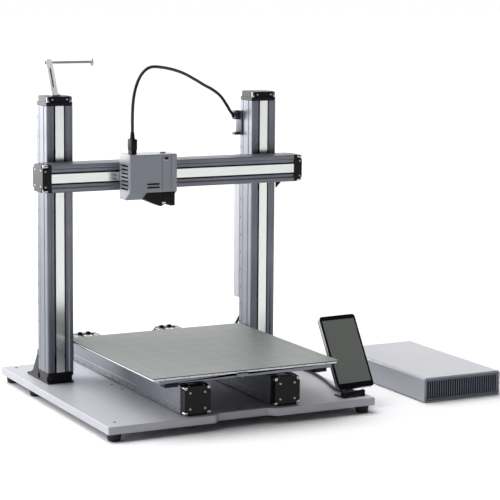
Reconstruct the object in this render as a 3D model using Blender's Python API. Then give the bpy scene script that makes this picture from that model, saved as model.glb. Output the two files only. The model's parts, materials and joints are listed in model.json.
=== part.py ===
"""Desktop fdm printer: five linear modules on a base plate, with its touchscreen and power unit.

The machine frame has x to the right, y to the back and z up, with x = y = 0 at the middle of the
base plate and z = 0 on its top face. One empty carries it all, so that the finished model stands
on z = 0, centred on its own footprint.
"""
import math

import bmesh
import bpy
from mathutils import Matrix, Vector

MM = 0.001
GAP = 0.3 * MM             # left between two pieces that touch
RUN = 0.5 * MM             # running clearance of what slides past another piece
BITE = 1.0 * MM            # how far two shapes of one piece reach into each other

# Base plate and feet
PLATE_WIDTH = 495 * MM
PLATE_DEPTH = 506 * MM
PLATE_THICK = 13.3 * MM
NOTCH_WIDTH = 114 * MM     # finger notch in the front edge
NOTCH_DEPTH = 12 * MM
FOOT_HEIGHT = 13.4 * MM
FOOT_RADIUS = 12.5 * MM
FOOT_INSET = 16.5 * MM
MIDDLE_FOOT_Y = 118 * MM

# Linear module: a channel with a cap at each end, in its own frame. x is across its face,
# y goes in from the face and z runs along it.
MODULE_LENGTH = 503.6 * MM
MODULE_WIDTH = 48.5 * MM
MODULE_DEPTH = 49 * MM
CAP_LENGTH = 16.5 * MM
CAP_BOSS = 10 * MM
CAP_NOTCH = 6.5 * MM
CAP_INSET = 0.6 * MM
CHANNEL_WALL = 4.75 * MM
CHANNEL_EDGE = 1.5 * MM    # chamfer on the channel's four long edges
CHANNEL_LIP = 4 * MM       # thickness of the two lips that face the carriage
CHANNEL_FLOOR = 8 * MM
MOUTH_WIDTH = 21.2 * MM
LEDGE_WIDTH = 30.8 * MM    # the lips step down to a ledge on each side of the mouth
LEDGE_DEPTH = 1.8 * MM
BACK_SLOT_WIDTH = 10.4 * MM
SIDE_GROOVE = 0.8 * MM
SIDE_GROOVES = ((0.24, 0.33), (0.72, 0.75))  # where each one starts and ends, as shares of the depth
STRIP_WIDTH = 15.6 * MM
STRIP_THICK = 1 * MM
STRIP_INSET = 1 * MM
SCREW_RADIUS = 4 * MM
JOURNAL_RADIUS = 3 * MM
JOURNAL_LENGTH = 7 * MM
MOTOR_SIZE = 33 * MM
MOTOR_LENGTH = 28 * MM

# Carriages
CARRIAGE_LENGTH = 88 * MM
SADDLE_LENGTH = 46 * MM
CARRIAGE_PLATE = 2.7 * MM
CARRIAGE_PLATE_INSET = 2 * MM
BED_CARRIAGE_PLATE = 120 * MM
LEG_WIDTH = 1.8 * MM
EAR_REACH = 34.6 * MM      # guard plate beside the right column
EAR_DROP = 41 * MM

# Where the modules stand
RAIL_SPACING = 167.2 * MM
RAIL_FRONT = -240 * MM
COLUMN_SPACING = 399.5 * MM
COLUMN_FRONT = 76 * MM
COLUMN_FOOT_THICK = 3.1 * MM
COLUMN_FOOT_LENGTH = 104 * MM
COLUMN_GUSSET_HEIGHT = 50.6 * MM
BRACKET_THICK = 3.5 * MM
GUSSET_THICK = 3 * MM
BEAM_HEIGHT = 369.75 * MM

# Bed
BED_Y = -71 * MM
SHEET_WIDTH = 345 * MM
SHEET_DEPTH = 373 * MM
SHEET_THICK = 1.5 * MM
HEATER_INSET = 2 * MM
BED_CORNER = 3 * MM
HEATER_THICK = 3 * MM
BED_FRAME_INSET_X = 13 * MM
BED_FRAME_INSET_Y = 3.5 * MM
BED_FRAME_THICK = 6.9 * MM
BED_PAD_HEIGHT = 7.7 * MM
BED_PAD_WIDTH = 60 * MM
BED_PAD_LENGTH = 150 * MM
BED_TAB_X = -10 * MM
BED_TAB_WIDTH = 20 * MM

# Head, from the middle of the beam's front face
HEAD_X = -65.25 * MM
HEAD_WIDTH = 89.5 * MM
HEAD_DEPTH = 45 * MM
HEAD_HEIGHT = 80.5 * MM
HEAD_WALL = 2.2 * MM
HEAD_CHAMFER_Y = 20 * MM
HEAD_CHAMFER_Z = 14.5 * MM
HEAD_PLATE_WIDTH = HEAD_WIDTH - 5.5 * MM
VENT_COUNT = 7
VENT_PITCH = 6.7 * MM
VENT_HEIGHT = 3 * MM
VENT_LENGTH = 29 * MM
VENT_INSET = 8.5 * MM
FRONT_SLOT_LEFT = -12.2 * MM
FRONT_SLOT_Z = -11.4 * MM
FRONT_SLOT_LENGTH = 23.6 * MM
FRONT_SLOT_HEIGHT = 2.6 * MM
FRONT_SLOT_PITCH = 5.7 * MM
FRAME_THICK = 2.5 * MM
SHELF_THICK = 3.7 * MM
SHELF_INSET = 20 * MM
SHELF_FRONT = 8 * MM
DUCT_LEFT = -12.7 * MM
DUCT_RIGHT = HEAD_WIDTH / 2 - 3 * MM
DUCT_INSET = 3 * MM
DUCT_BACK = 12 * MM        # from the nozzle's axis to the duct's back
DUCT_ROOM = 3 * MM
DUCT_SLICE = 11 * MM       # the slanted cut takes this much off the duct's left side
DUCT_SLICE_RUN = 26 * MM
NOZZLE_X = 25 * MM
NOZZLE_Y = -27.5 * MM
NOZZLE_TIP_Z = -51.75 * MM
HEAT_BLOCK_RADIUS = 6 * MM
HEAT_SINK_RADIUS = 7 * MM
FEEDER_SIZE = 36 * MM
FEEDER_Z = 7 * MM
FILAMENT_GAP = 1.8 * MM
FILAMENT_HOLE_RADIUS = 3 * MM
GEAR_RADIUS = 6 * MM
GEAR_TEETH = 18
GEAR_WIDTH = 8 * MM
IDLER_RADIUS = 5 * MM
SHAFT_RADIUS = 2 * MM
FAN_X = -21 * MM
FAN_RADIUS = 17 * MM
FAN_HUB_RADIUS = 7 * MM
FAN_WIDTH = 8 * MM
FAN_BLADES = 7
FAN_PIN_LENGTH = FAN_WIDTH + 4 * MM
PLUG_X = -32.75 * MM
PLUG_Y = -28.5 * MM
PLUG_WIDTH = 11 * MM
PLUG_DEPTH = 19 * MM
PLUG_HEIGHT = 26 * MM
PLUG_STEM = 3.5 * MM
PLUG_STEM_LENGTH = 5 * MM
RELIEF_HEIGHT = 13 * MM

# Spool holder on the left column
ARM_LEAN = 28 * MM
ARM_RISE = 56 * MM
ARM_WIDTH = 12 * MM
ARM_THICK = 6 * MM
ARM_SLOT_LOW = 14 * MM
ARM_SLOT_TOP = 10 * MM
ARM_SLOT_WIDTH = 3 * MM
ARM_BASE_MARGIN = 2 * MM
ARM_BASE_DEPTH = 18 * MM
SPOOL_ROD_LENGTH = 88 * MM
SPOOL_ROD_RADIUS = 2.25 * MM
SPOOL_FLANGE_RADIUS = 7 * MM

# Controller and cable clip on the right column
CONTROLLER_WIDTH = 47.7 * MM
CONTROLLER_CORNER = 2 * MM
CONTROLLER_DEPTH = 24 * MM
CONTROLLER_LOW = 119 * MM
CONTROLLER_HIGH = 386 * MM
CLIP_THICK = 7 * MM
CLIP_DEPTH = 23 * MM
CLIP_LOW = 425 * MM
CLIP_HIGH = 470 * MM
CLIP_Y = 124.5 * MM

# Touchscreen, on a hinge near the front right corner of the plate
SCREEN_X = 216.1 * MM
SCREEN_Y = -232 * MM
SCREEN_AXIS_Z = 6.6 * MM
SCREEN_TURN = math.radians(4.1)
SCREEN_LEAN = math.radians(29.4)
SCREEN_WIDTH = 75 * MM
SCREEN_HEIGHT = 134 * MM
SCREEN_THICK = 10 * MM
SCREEN_CORNER = 6 * MM
SCREEN_LEFT = -20.1 * MM
SCREEN_BOTTOM = 10.7 * MM
SCREEN_BACK = 9.9 * MM
SCREEN_ARM_WIDTH = 12 * MM
BARREL_RADIUS = 4 * MM
BARREL_LENGTH = 37.4 * MM
STAND_THICK = 1.9 * MM
STAND_FRONT = 5 * MM
STAND_BACK = 25 * MM
STAND_GLAND_LENGTH = 5 * MM
STAND_GLAND_HEIGHT = 6 * MM
STAND_GLAND_WIDTH = 10 * MM
LUG_WIDTH = 3.5 * MM
PIN_RADIUS = 1.6 * MM

# Power unit, which stands on the floor at the right
POWER_X = 442 * MM
POWER_Y = -82 * MM
POWER_WIDTH = 160 * MM
POWER_DEPTH = 296 * MM
POWER_HEIGHT = 45 * MM
POWER_WALL = 3 * MM
POWER_CORNER = 5 * MM
GRILLE_COUNT = 31
GRILLE_THICK = 4 * MM
SWITCH_WIDTH = 13 * MM
SWITCH_HEIGHT = 19 * MM
SWITCH_INSET = 24 * MM     # from the sleeve's right side to the switch's middle
SWITCH_EAR_DEPTH = 4 * MM
SWITCH_EAR_HEIGHT = 6 * MM
GRILLE_MARGIN_X = 3 * MM
GRILLE_MARGIN_Z = 7 * MM

# Cables, each a list of points that its middle line passes through
HEAD_CABLE_DIAMETER = 5.6 * MM
HEAD_CABLE_ROUTE = (
    (165.6, 129.0, 459.6), (159.6, 126.2, 464.4), (152.6, 122.6, 471.2), (142.6, 117.6, 482.9),
    (125.9, 108.9, 499.4), (103.9, 97.5, 511.9), (85.0, 87.6, 519.7), (58.3, 73.6, 531.8),
    (32.0, 59.9, 542.8), (6.2, 46.4, 550.6), (-19.3, 33.1, 555.8), (-40.5, 21.6, 558.6),
    (-56.0, 13.2, 558.4), (-69.1, 6.6, 553.6), (-80.6, 1.3, 543.6), (-89.2, -2.1, 528.6),
    (-94.8, -4.0, 510.6), (-97.4, -4.8, 490.3), (-98.1, -5.0, 469.7), (-98.0, -5.0, 449.7),
)
HEAD_CABLE_JOIN = 11       # the route point where the two halves meet
SCREEN_CABLE_DIAMETER = 5.5 * MM
SCREEN_CABLE_ROUTE = (
    (213.9, -201.6, 3.3), (213.0, -190, 3.2), (213.6, -176, 3.1), (217, -158, 3.1),
    (223, -136, 3.1), (229, -112, 3.1), (235, -84, 3.1), (240, -54, 3.1), (242.5, -24, 3.1),
    (242, 8, 3.1), (239, 40, 3.1), (236, 72, 3.1), (234, 104, 3.1), (233, 134, 3.1),
    (232, 160, 3.1), (227, 186, 3.3), (215, 206, 5.5), (203, 211, 13), (198, 204, 27),
    (198, 190, 47), (199, 172, 69), (199.8, 154, 88), (200, 142, 101), (200, 137.2, 110),
    (200, 137, 118.5),
)

for leftover in list(bpy.data.objects):
    bpy.data.objects.remove(leftover, do_unlink=True)


# ---------------------------------------------------------------- finishes
def finish(name, colour, roughness, metallic=0.0):
    """One Principled material; colour is given as it is seen."""
    material = bpy.data.materials.new(name)
    material.use_nodes = True
    shader = material.node_tree.nodes["Principled BSDF"]
    linear = [((c + 0.055) / 1.055) ** 2.4 if c > 0.04 else c / 12.92 for c in colour]
    shader.inputs["Base Color"].default_value = (*linear, 1)
    shader.inputs["Roughness"].default_value = roughness
    shader.inputs["Metallic"].default_value = metallic
    return material


FINISHES = {
    "painted_plate": finish("painted_plate", (0.74, 0.74, 0.77), 0.5),
    "anodised": finish("anodised", (0.66, 0.67, 0.7), 0.35, 0.9),
    "steel_strip": finish("steel_strip", (0.8, 0.8, 0.79), 0.25, 1.0),
    "steel": finish("steel", (0.7, 0.7, 0.72), 0.3, 1.0),
    "black_cap": finish("black_cap", (0.07, 0.07, 0.08), 0.35),
    "black_rubber": finish("black_rubber", (0.05, 0.05, 0.05), 0.8),
    "black_metal": finish("black_metal", (0.1, 0.1, 0.11), 0.45, 0.6),
    "print_sheet": finish("print_sheet", (0.5, 0.52, 0.51), 0.55),
    "head_plastic": finish("head_plastic", (0.56, 0.57, 0.61), 0.45),
    "black_plastic": finish("black_plastic", (0.06, 0.06, 0.07), 0.5),
    "copper": finish("copper", (0.75, 0.42, 0.26), 0.3, 1.0),
    "white_metal": finish("white_metal", (0.82, 0.82, 0.84), 0.4, 0.4),
    "screen_glass": finish("screen_glass", (0.25, 0.26, 0.26), 0.1),
    "power_sleeve": finish("power_sleeve", (0.7, 0.7, 0.74), 0.45, 0.5),
    "cable": finish("cable", (0.1, 0.1, 0.1), 0.5),
}


# ---------------------------------------------------------------- shapes
def lay(axis, a, b, c):
    """A point of an outline (a, b) at height c along an axis."""
    return {"X": (c, a, b), "Y": (a, c, b), "Z": (a, b, c)}[axis]


def prism(outline, low, high, holes=(), axis="Z"):
    """An outline swept along an axis, with any holes going right through."""
    body = bmesh.new()
    for loop in (outline, *holes):
        ring = [body.verts.new(lay(axis, a, b, low)) for a, b in loop]
        for index, corner in enumerate(ring):
            body.edges.new((ring[index - 1], corner))
    if holes:
        bmesh.ops.triangle_fill(body, use_beauty=True, edges=body.edges[:])
    else:
        bmesh.ops.contextual_create(body, geom=body.edges[:])
    swept = bmesh.ops.extrude_face_region(body, geom=body.faces[:])
    top = [item for item in swept["geom"] if isinstance(item, bmesh.types.BMVert)]
    bmesh.ops.translate(body, verts=top, vec=lay(axis, 0, 0, high - low))
    bmesh.ops.recalc_face_normals(body, faces=body.faces[:])
    return body


def box(low, high):
    """A block between two corners."""
    outline = ((low[0], low[1]), (high[0], low[1]), (high[0], high[1]), (low[0], high[1]))
    return prism(outline, low[2], high[2])


def circle(radius, steps=12, centre=(0, 0)):
    """Points of a circle; the polygon goes round outside it, so that its flats keep the radius."""
    outer = radius / math.cos(math.pi / steps)
    return [(centre[0] + outer * math.cos(math.tau * (step + 0.5) / steps),
             centre[1] + outer * math.sin(math.tau * (step + 0.5) / steps)) for step in range(steps)]


def rod(radius, low, high, steps=12, centre=(0, 0), axis="Z"):
    """A plain round bar."""
    return prism(circle(radius, steps, centre), low, high, axis=axis)


def rounded(left, bottom, right, top, radius, steps=4):
    """A rectangle with round corners."""
    points = []
    corners = ((right - radius, bottom + radius, -90), (right - radius, top - radius, 0),
               (left + radius, top - radius, 90), (left + radius, bottom + radius, 180))
    for x, y, start in corners:
        for step in range(steps + 1):
            angle = math.radians(start + 90 * step / steps)
            points.append((x + radius * math.cos(angle), y + radius * math.sin(angle)))
    return points


def turned(profile, steps=12, axis="Z", centre=(0, 0)):
    """A profile of (radius, height) points, from the axis out and back to it, turned full circle."""
    body = bmesh.new()
    ring = [body.verts.new((radius, 0, height)) for radius, height in profile]
    edges = [body.edges.new((ring[index], ring[index + 1])) for index in range(len(ring) - 1)]
    bmesh.ops.spin(body, geom=ring + edges, cent=(0, 0, 0), axis=(0, 0, 1), angle=math.tau,
                   steps=steps, use_merge=True)
    bmesh.ops.remove_doubles(body, verts=body.verts[:], dist=1e-6)
    for corner in body.verts:
        x, y, z = corner.co
        corner.co = lay(axis, x + centre[0], y + centre[1], z)
    bmesh.ops.recalc_face_normals(body, faces=body.faces[:])
    return body


def slice_off(body, point, normal):
    """Take away what lies past a plane, and close the cut."""
    cut = bmesh.ops.bisect_plane(body, geom=body.verts[:] + body.edges[:] + body.faces[:],
                                 plane_co=point, plane_no=normal, clear_outer=True)
    edges = [item for item in cut["geom_cut"] if isinstance(item, bmesh.types.BMEdge)]
    bmesh.ops.contextual_create(body, geom=edges)
    bmesh.ops.recalc_face_normals(body, faces=body.faces[:])
    return body


def moved(body, matrix):
    """A shape put somewhere else."""
    bmesh.ops.transform(body, matrix=matrix, verts=body.verts[:])
    return body


# ---------------------------------------------------------------- pieces
def holder(name, place, parent=None):
    """An empty that carries pieces."""
    carrier = bpy.data.objects.new(name, None)
    bpy.context.scene.collection.objects.link(carrier)
    carrier.parent = parent
    carrier.matrix_basis = place
    return carrier


def make(name, body, look, at=(0, 0, 0), parent=None):
    """One piece from its shape, with its origin at a point of what carries it."""
    mesh = bpy.data.meshes.new(name)
    body.to_mesh(mesh)
    body.free()
    mesh.shade_smooth()
    mesh.set_sharp_from_angle(angle=math.radians(35))
    mesh.materials.append(FINISHES[look])
    piece = bpy.data.objects.new(name, mesh)
    bpy.context.scene.collection.objects.link(piece)
    piece.parent = parent or MACHINE
    piece.location = at
    return piece


def combine(piece, operation, *bodies):
    """Join shapes to a piece, or cut them out of it. They are given in the piece's own frame."""
    for body in bodies:
        tool = make(f"{piece.name}_tool", body, "steel", parent=piece)
        tool.hide_render = True
        tool.display_type = "WIRE"
        step = piece.modifiers.new(operation.title(), "BOOLEAN")
        step.operation = operation
        step.object = tool
    return piece


def join(piece, *bodies):
    return combine(piece, "UNION", *bodies)


def cut(piece, *bodies):
    return combine(piece, "DIFFERENCE", *bodies)


# ---------------------------------------------------------------- where everything stands
FLOOR_Z = -(PLATE_THICK + GAP + FOOT_HEIGHT)
COLUMN_BASE_Z = GAP + COLUMN_FOOT_THICK
BEAM_FRONT = COLUMN_FRONT - RUN - CARRIAGE_PLATE - GAP - MODULE_DEPTH
RAIL_TOP_Z = GAP + MODULE_DEPTH
RAIL_BACK = RAIL_FRONT + MODULE_LENGTH
SHEET_FRONT = BED_Y - SHEET_DEPTH / 2
POWER_RIGHT = POWER_X + POWER_WIDTH / 2
FOOTPRINT_X = (-MODULE_LENGTH / 2, POWER_RIGHT)
FOOTPRINT_Y = (min(SHEET_FRONT, -PLATE_DEPTH / 2), max(RAIL_BACK, PLATE_DEPTH / 2))
FOOTPRINT_CENTRE = Vector((sum(FOOTPRINT_X) / 2, sum(FOOTPRINT_Y) / 2, FLOOR_Z))
MACHINE = holder("machine", Matrix.Translation(-FOOTPRINT_CENTRE))


# ---------------------------------------------------------------- base
def base_plate():
    """The plate, with a finger notch in its front edge."""
    half_x, half_y = PLATE_WIDTH / 2, PLATE_DEPTH / 2
    notch, depth = NOTCH_WIDTH / 2, NOTCH_DEPTH
    outline = ((-half_x, -half_y), (-notch, -half_y), (-notch + depth, -half_y + depth),
               (notch - depth, -half_y + depth), (notch, -half_y), (half_x, -half_y),
               (half_x, half_y), (-half_x, half_y))
    make("base_plate", prism(outline, -PLATE_THICK, 0), "painted_plate")


def feet():
    """Six rubber feet, a little narrower where they meet the floor."""
    across = PLATE_WIDTH / 2 - FOOT_INSET
    along = PLATE_DEPTH / 2 - FOOT_INSET
    rows = (("front", -along), ("middle", MIDDLE_FOOT_Y), ("back", along))
    top = -PLATE_THICK - GAP
    for row, y in rows:
        for side, x in (("left", -across), ("right", across)):
            profile = ((0, FLOOR_Z), (FOOT_RADIUS * 0.8, FLOOR_Z), (FOOT_RADIUS * 0.88, FLOOR_Z + BITE),
                       (FOOT_RADIUS, top), (0, top))
            make(f"foot_{row}_{side}", turned(profile), "black_rubber", at=(x, y, 0))


# ---------------------------------------------------------------- linear modules
CAVITY_HALF = MODULE_WIDTH / 2 - CHANNEL_WALL
CAVITY_DEEP = MODULE_DEPTH - CHANNEL_FLOOR
SCREW_Y = (CHANNEL_LIP + CAVITY_DEEP) / 2
JOURNAL_BORE = JOURNAL_RADIUS + GAP
MOTOR_FACE = CAP_LENGTH + MOTOR_LENGTH


def channel_outline():
    """Section of the channel: stepped lips at its face, grooved sides and a slot in its back."""
    half, mouth, ledge = MODULE_WIDTH / 2, MOUTH_WIDTH / 2, LEDGE_WIDTH / 2
    groove, slot = half - SIDE_GROOVE, BACK_SLOT_WIDTH / 2
    edge = CHANNEL_EDGE
    right = [(CAVITY_HALF, CAVITY_DEEP), (CAVITY_HALF, CHANNEL_LIP), (mouth, CHANNEL_LIP),
             (mouth, LEDGE_DEPTH), (ledge, LEDGE_DEPTH), (ledge + LEDGE_DEPTH, 0),
             (half - edge, 0), (half, edge)]
    for start, end in SIDE_GROOVES:
        top, bottom = start * MODULE_DEPTH, end * MODULE_DEPTH
        right += [(half, top), (groove, top + SIDE_GROOVE / 2),
                  (groove, bottom - SIDE_GROOVE / 2), (half, bottom)]
    right += [(half, MODULE_DEPTH - edge), (half - edge, MODULE_DEPTH),
              (slot, MODULE_DEPTH), (slot, MODULE_DEPTH - edge)]
    return right + [(-x, y) for x, y in reversed(right)]


def cap_outline(inset, corner):
    """A square with stepped corners, where the screw heads sit."""
    half, top, bottom = MODULE_WIDTH / 2 - inset, inset, MODULE_DEPTH - inset
    right = [(half - corner, top), (half - corner, top + corner * 0.6), (half - corner * 0.6, top + corner),
             (half, top + corner), (half, bottom - corner), (half - corner * 0.6, bottom - corner),
             (half - corner, bottom - corner * 0.6), (half - corner, bottom)]
    return right + [(-x, y) for x, y in reversed(right)]


def slab_outline():
    """The cap's inner slab, a square with its corners cut."""
    half, edge = MODULE_WIDTH / 2, 2 * MM
    right = [(half - edge, 0), (half, edge), (half, MODULE_DEPTH - edge), (half - edge, MODULE_DEPTH)]
    return right + [(-x, y) for x, y in reversed(right)]


def end_cap(name, parent, far, motor, foot=False):
    """An end cap from its outer face at z = 0 inwards, with the motor behind it or a bearing in it."""
    bodies = [prism(cap_outline(CAP_INSET, CAP_NOTCH), 0, CAP_LENGTH - BITE)]
    bore_face = CAP_LENGTH
    if motor:
        half = MOTOR_SIZE / 2
        bodies.append(box((-half, SCREW_Y - half, CAP_LENGTH - BITE), (half, SCREW_Y + half, MOTOR_FACE)))
        bore_face = MOTOR_FACE
    if foot:
        bodies += column_foot()
    bore = rod(JOURNAL_BORE, bore_face - JOURNAL_LENGTH, bore_face + BITE, centre=(0, SCREW_Y))
    slab = prism(slab_outline(), CAP_BOSS, CAP_LENGTH)
    if far:
        flip = Matrix.Translation((0, 0, MODULE_LENGTH)) @ Matrix.Rotation(math.pi, 4, "Y")
        bodies = [moved(body, flip) for body in bodies]
        bore, slab = moved(bore, flip), moved(slab, flip)
    cap = make(name, slab, "black_cap", parent=parent)
    join(cap, *bodies)
    cut(cap, bore)


def column_foot():
    """The bracket under a column: a foot, an upright behind the channel and two gussets."""
    half = MODULE_WIDTH / 2
    back = MODULE_DEPTH + GAP
    low, high = -COLUMN_FOOT_THICK, COLUMN_GUSSET_HEIGHT
    upright = back + BRACKET_THICK
    web = ((back + BITE, low + BITE), (COLUMN_FOOT_LENGTH - BITE, low + BITE), (upright + 24 * MM, 8.6 * MM),
           (back + BITE, high - BITE))
    bodies = [box((-half, 0, low), (half, COLUMN_FOOT_LENGTH, BITE / 2)),
              box((-half, back, low + BITE / 2), (half, upright, high))]
    for left in (-half + BITE / 4, half - GUSSET_THICK - BITE / 4):
        bodies.append(prism(web, left, left + GUSSET_THICK, axis="X"))
    return bodies


def linear_module(name, place, near_end, far_end, motor_far=False, foot=False):
    """Channel, steel strip, two end caps and the lead screw, carried by one empty."""
    module = holder(f"{name}_module", place, MACHINE)
    inner_low, inner_high = CAP_LENGTH + GAP, MODULE_LENGTH - CAP_LENGTH - GAP
    make(f"{name}_rail", prism(channel_outline(), inner_low, inner_high), "anodised", parent=module)
    half = STRIP_WIDTH / 2
    strip = box((-half, STRIP_INSET, inner_low), (half, STRIP_INSET + STRIP_THICK, inner_high))
    make(f"{name}_strip", strip, "steel_strip", parent=module)
    end_cap(f"{name}_{near_end}", module, False, not motor_far, foot)
    end_cap(f"{name}_{far_end}", module, True, motor_far)
    low, high = CAP_LENGTH, MODULE_LENGTH - CAP_LENGTH
    if motor_far:
        high = MODULE_LENGTH - MOTOR_FACE
    else:
        low = MOTOR_FACE
    low, high = low - JOURNAL_LENGTH + GAP, high + JOURNAL_LENGTH - GAP
    shoulder = JOURNAL_LENGTH + BITE
    profile = ((0, low), (JOURNAL_RADIUS, low), (JOURNAL_RADIUS, low + shoulder),
               (SCREW_RADIUS, low + shoulder), (SCREW_RADIUS, high - shoulder),
               (JOURNAL_RADIUS, high - shoulder), (JOURNAL_RADIUS, high), (0, high))
    make(f"{name}_lead_screw", turned(profile), "steel", at=(0, SCREW_Y, 0), parent=module)
    return module


def carriage(name, module, along, plate_width, plate_length, ear=False):
    """The block on the lead screw, two legs past the strip and the plate that carries the load."""
    block_half = CAVITY_HALF - 2 * GAP
    block_top, block_deep = CHANNEL_LIP + 2 * RUN, CAVITY_DEEP - 2 * RUN
    length = CARRIAGE_LENGTH / 2
    outline = ((-block_half, block_top), (block_half, block_top),
               (block_half, block_deep), (-block_half, block_deep))
    bore = circle(SCREW_RADIUS + RUN, centre=(0, SCREW_Y))
    block = prism(outline, -length, length, holes=(bore,))
    piece = make(name, block, "black_metal", at=(0, 0, along), parent=module)
    leg_in = STRIP_WIDTH / 2 + RUN
    leg_out = leg_in + LEG_WIDTH
    saddle_half = SADDLE_LENGTH / 2
    leg_top, plate_top = -RUN, -RUN - CARRIAGE_PLATE
    for side in (-1, 1):
        low, high = sorted((side * leg_in, side * leg_out))
        join(piece, box((low, leg_top - BITE, -saddle_half), (high, block_top + BITE, saddle_half)))
    half, reach = plate_width / 2, plate_length / 2
    plate = [(-half, -reach), (half, -reach), (half, reach), (-half, reach)]
    if ear:
        clear = MODULE_WIDTH / 2 + GAP
        plate = [(-half, -reach), (clear, -reach), (clear, -EAR_DROP),
                 (EAR_REACH, -EAR_DROP + EAR_REACH - clear), (EAR_REACH, reach), (-half, reach)]
    join(piece, prism(plate, plate_top, leg_top, axis="Y"))
    return piece


def modules():
    """Two rails under the bed, two columns and the beam, with their carriages."""
    plate = MODULE_WIDTH - 2 * CARRIAGE_PLATE_INSET
    flat = Matrix.Rotation(-math.pi / 2, 4, "X")
    lying = Matrix.Rotation(math.pi / 2, 4, "Y")
    for side, sign in (("left", -1), ("right", 1)):
        rail = Matrix.Translation((sign * RAIL_SPACING / 2, RAIL_FRONT, RAIL_TOP_Z)) @ flat
        module = linear_module(f"y_{side}", rail, "front_cap", "back_cap", motor_far=True)
        carriage(f"y_{side}_carriage", module, BED_Y - RAIL_FRONT, plate, BED_CARRIAGE_PLATE)
    for side, sign in (("left", -1), ("right", 1)):
        column = Matrix.Translation((sign * COLUMN_SPACING / 2, COLUMN_FRONT, COLUMN_BASE_Z))
        module = linear_module(f"z_{side}", column, "foot_cap", "top_cap", foot=True)
        carriage(f"z_{side}_carriage", module, BEAM_HEIGHT - COLUMN_BASE_Z, plate, SADDLE_LENGTH,
                 ear=side == "right")
    beam = Matrix.Translation((-MODULE_LENGTH / 2, BEAM_FRONT, BEAM_HEIGHT)) @ lying
    module = linear_module("x", beam, "left_cap", "right_cap", motor_far=True)
    carriage("x_carriage", module, HEAD_X + MODULE_LENGTH / 2, SADDLE_LENGTH, HEAD_PLATE_WIDTH)


# ---------------------------------------------------------------- bed
def bed():
    """Frame on the two carriages, heater plate and print sheet."""
    pad_low = RAIL_TOP_Z + RUN + CARRIAGE_PLATE + GAP
    frame_low = pad_low + BED_PAD_HEIGHT
    frame_high = frame_low + BED_FRAME_THICK
    half_x, half_y = SHEET_WIDTH / 2 - BED_FRAME_INSET_X, SHEET_DEPTH / 2 - BED_FRAME_INSET_Y
    plate = box((-half_x, -half_y, frame_low), (half_x, half_y, frame_high))
    frame = make("bed_frame", plate, "anodised", at=(0, BED_Y, 0))
    for side in (-1, 1):
        middle = side * RAIL_SPACING / 2
        join(frame, box((middle - BED_PAD_WIDTH / 2, -BED_PAD_LENGTH / 2, pad_low),
                        (middle + BED_PAD_WIDTH / 2, BED_PAD_LENGTH / 2, frame_low + BITE)))
    join(frame, box((BED_TAB_X - BED_TAB_WIDTH / 2, -SHEET_DEPTH / 2, frame_low + BITE),
                    (BED_TAB_X + BED_TAB_WIDTH / 2, -half_y + BITE, frame_high - BITE / 2)))
    heater_low = frame_high + GAP
    half_x, half_y = SHEET_WIDTH / 2 - HEATER_INSET, SHEET_DEPTH / 2 - HEATER_INSET
    heater_top = heater_low + HEATER_THICK
    heater = prism(rounded(-half_x, -half_y, half_x, half_y, BED_CORNER), heater_low, heater_top)
    make("heater_plate", heater, "anodised", at=(0, BED_Y, 0))
    sheet_low = heater_top + GAP
    outline = rounded(-SHEET_WIDTH / 2, -SHEET_DEPTH / 2, SHEET_WIDTH / 2, SHEET_DEPTH / 2, BED_CORNER)
    make("print_sheet", prism(outline, sheet_low, sheet_low + SHEET_THICK), "print_sheet", at=(0, BED_Y, 0))


# ---------------------------------------------------------------- head
HEAD_BACK = -RUN
HEAD_FRONT = HEAD_BACK - HEAD_DEPTH
HEAD_TOP = HEAD_HEIGHT / 2
FRAME_BACK = -RUN - CARRIAGE_PLATE - GAP
FRAME_FRONT = FRAME_BACK - FRAME_THICK
SHELF_LOW = -HEAD_TOP + HEAD_CHAMFER_Z + GAP
FEEDER_FRONT = NOZZLE_Y + GEAR_WIDTH / 2 + RUN
GEAR_X = NOZZLE_X - FILAMENT_GAP / 2 - GEAR_RADIUS
IDLER_X = NOZZLE_X + FILAMENT_GAP / 2 + IDLER_RADIUS


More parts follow.
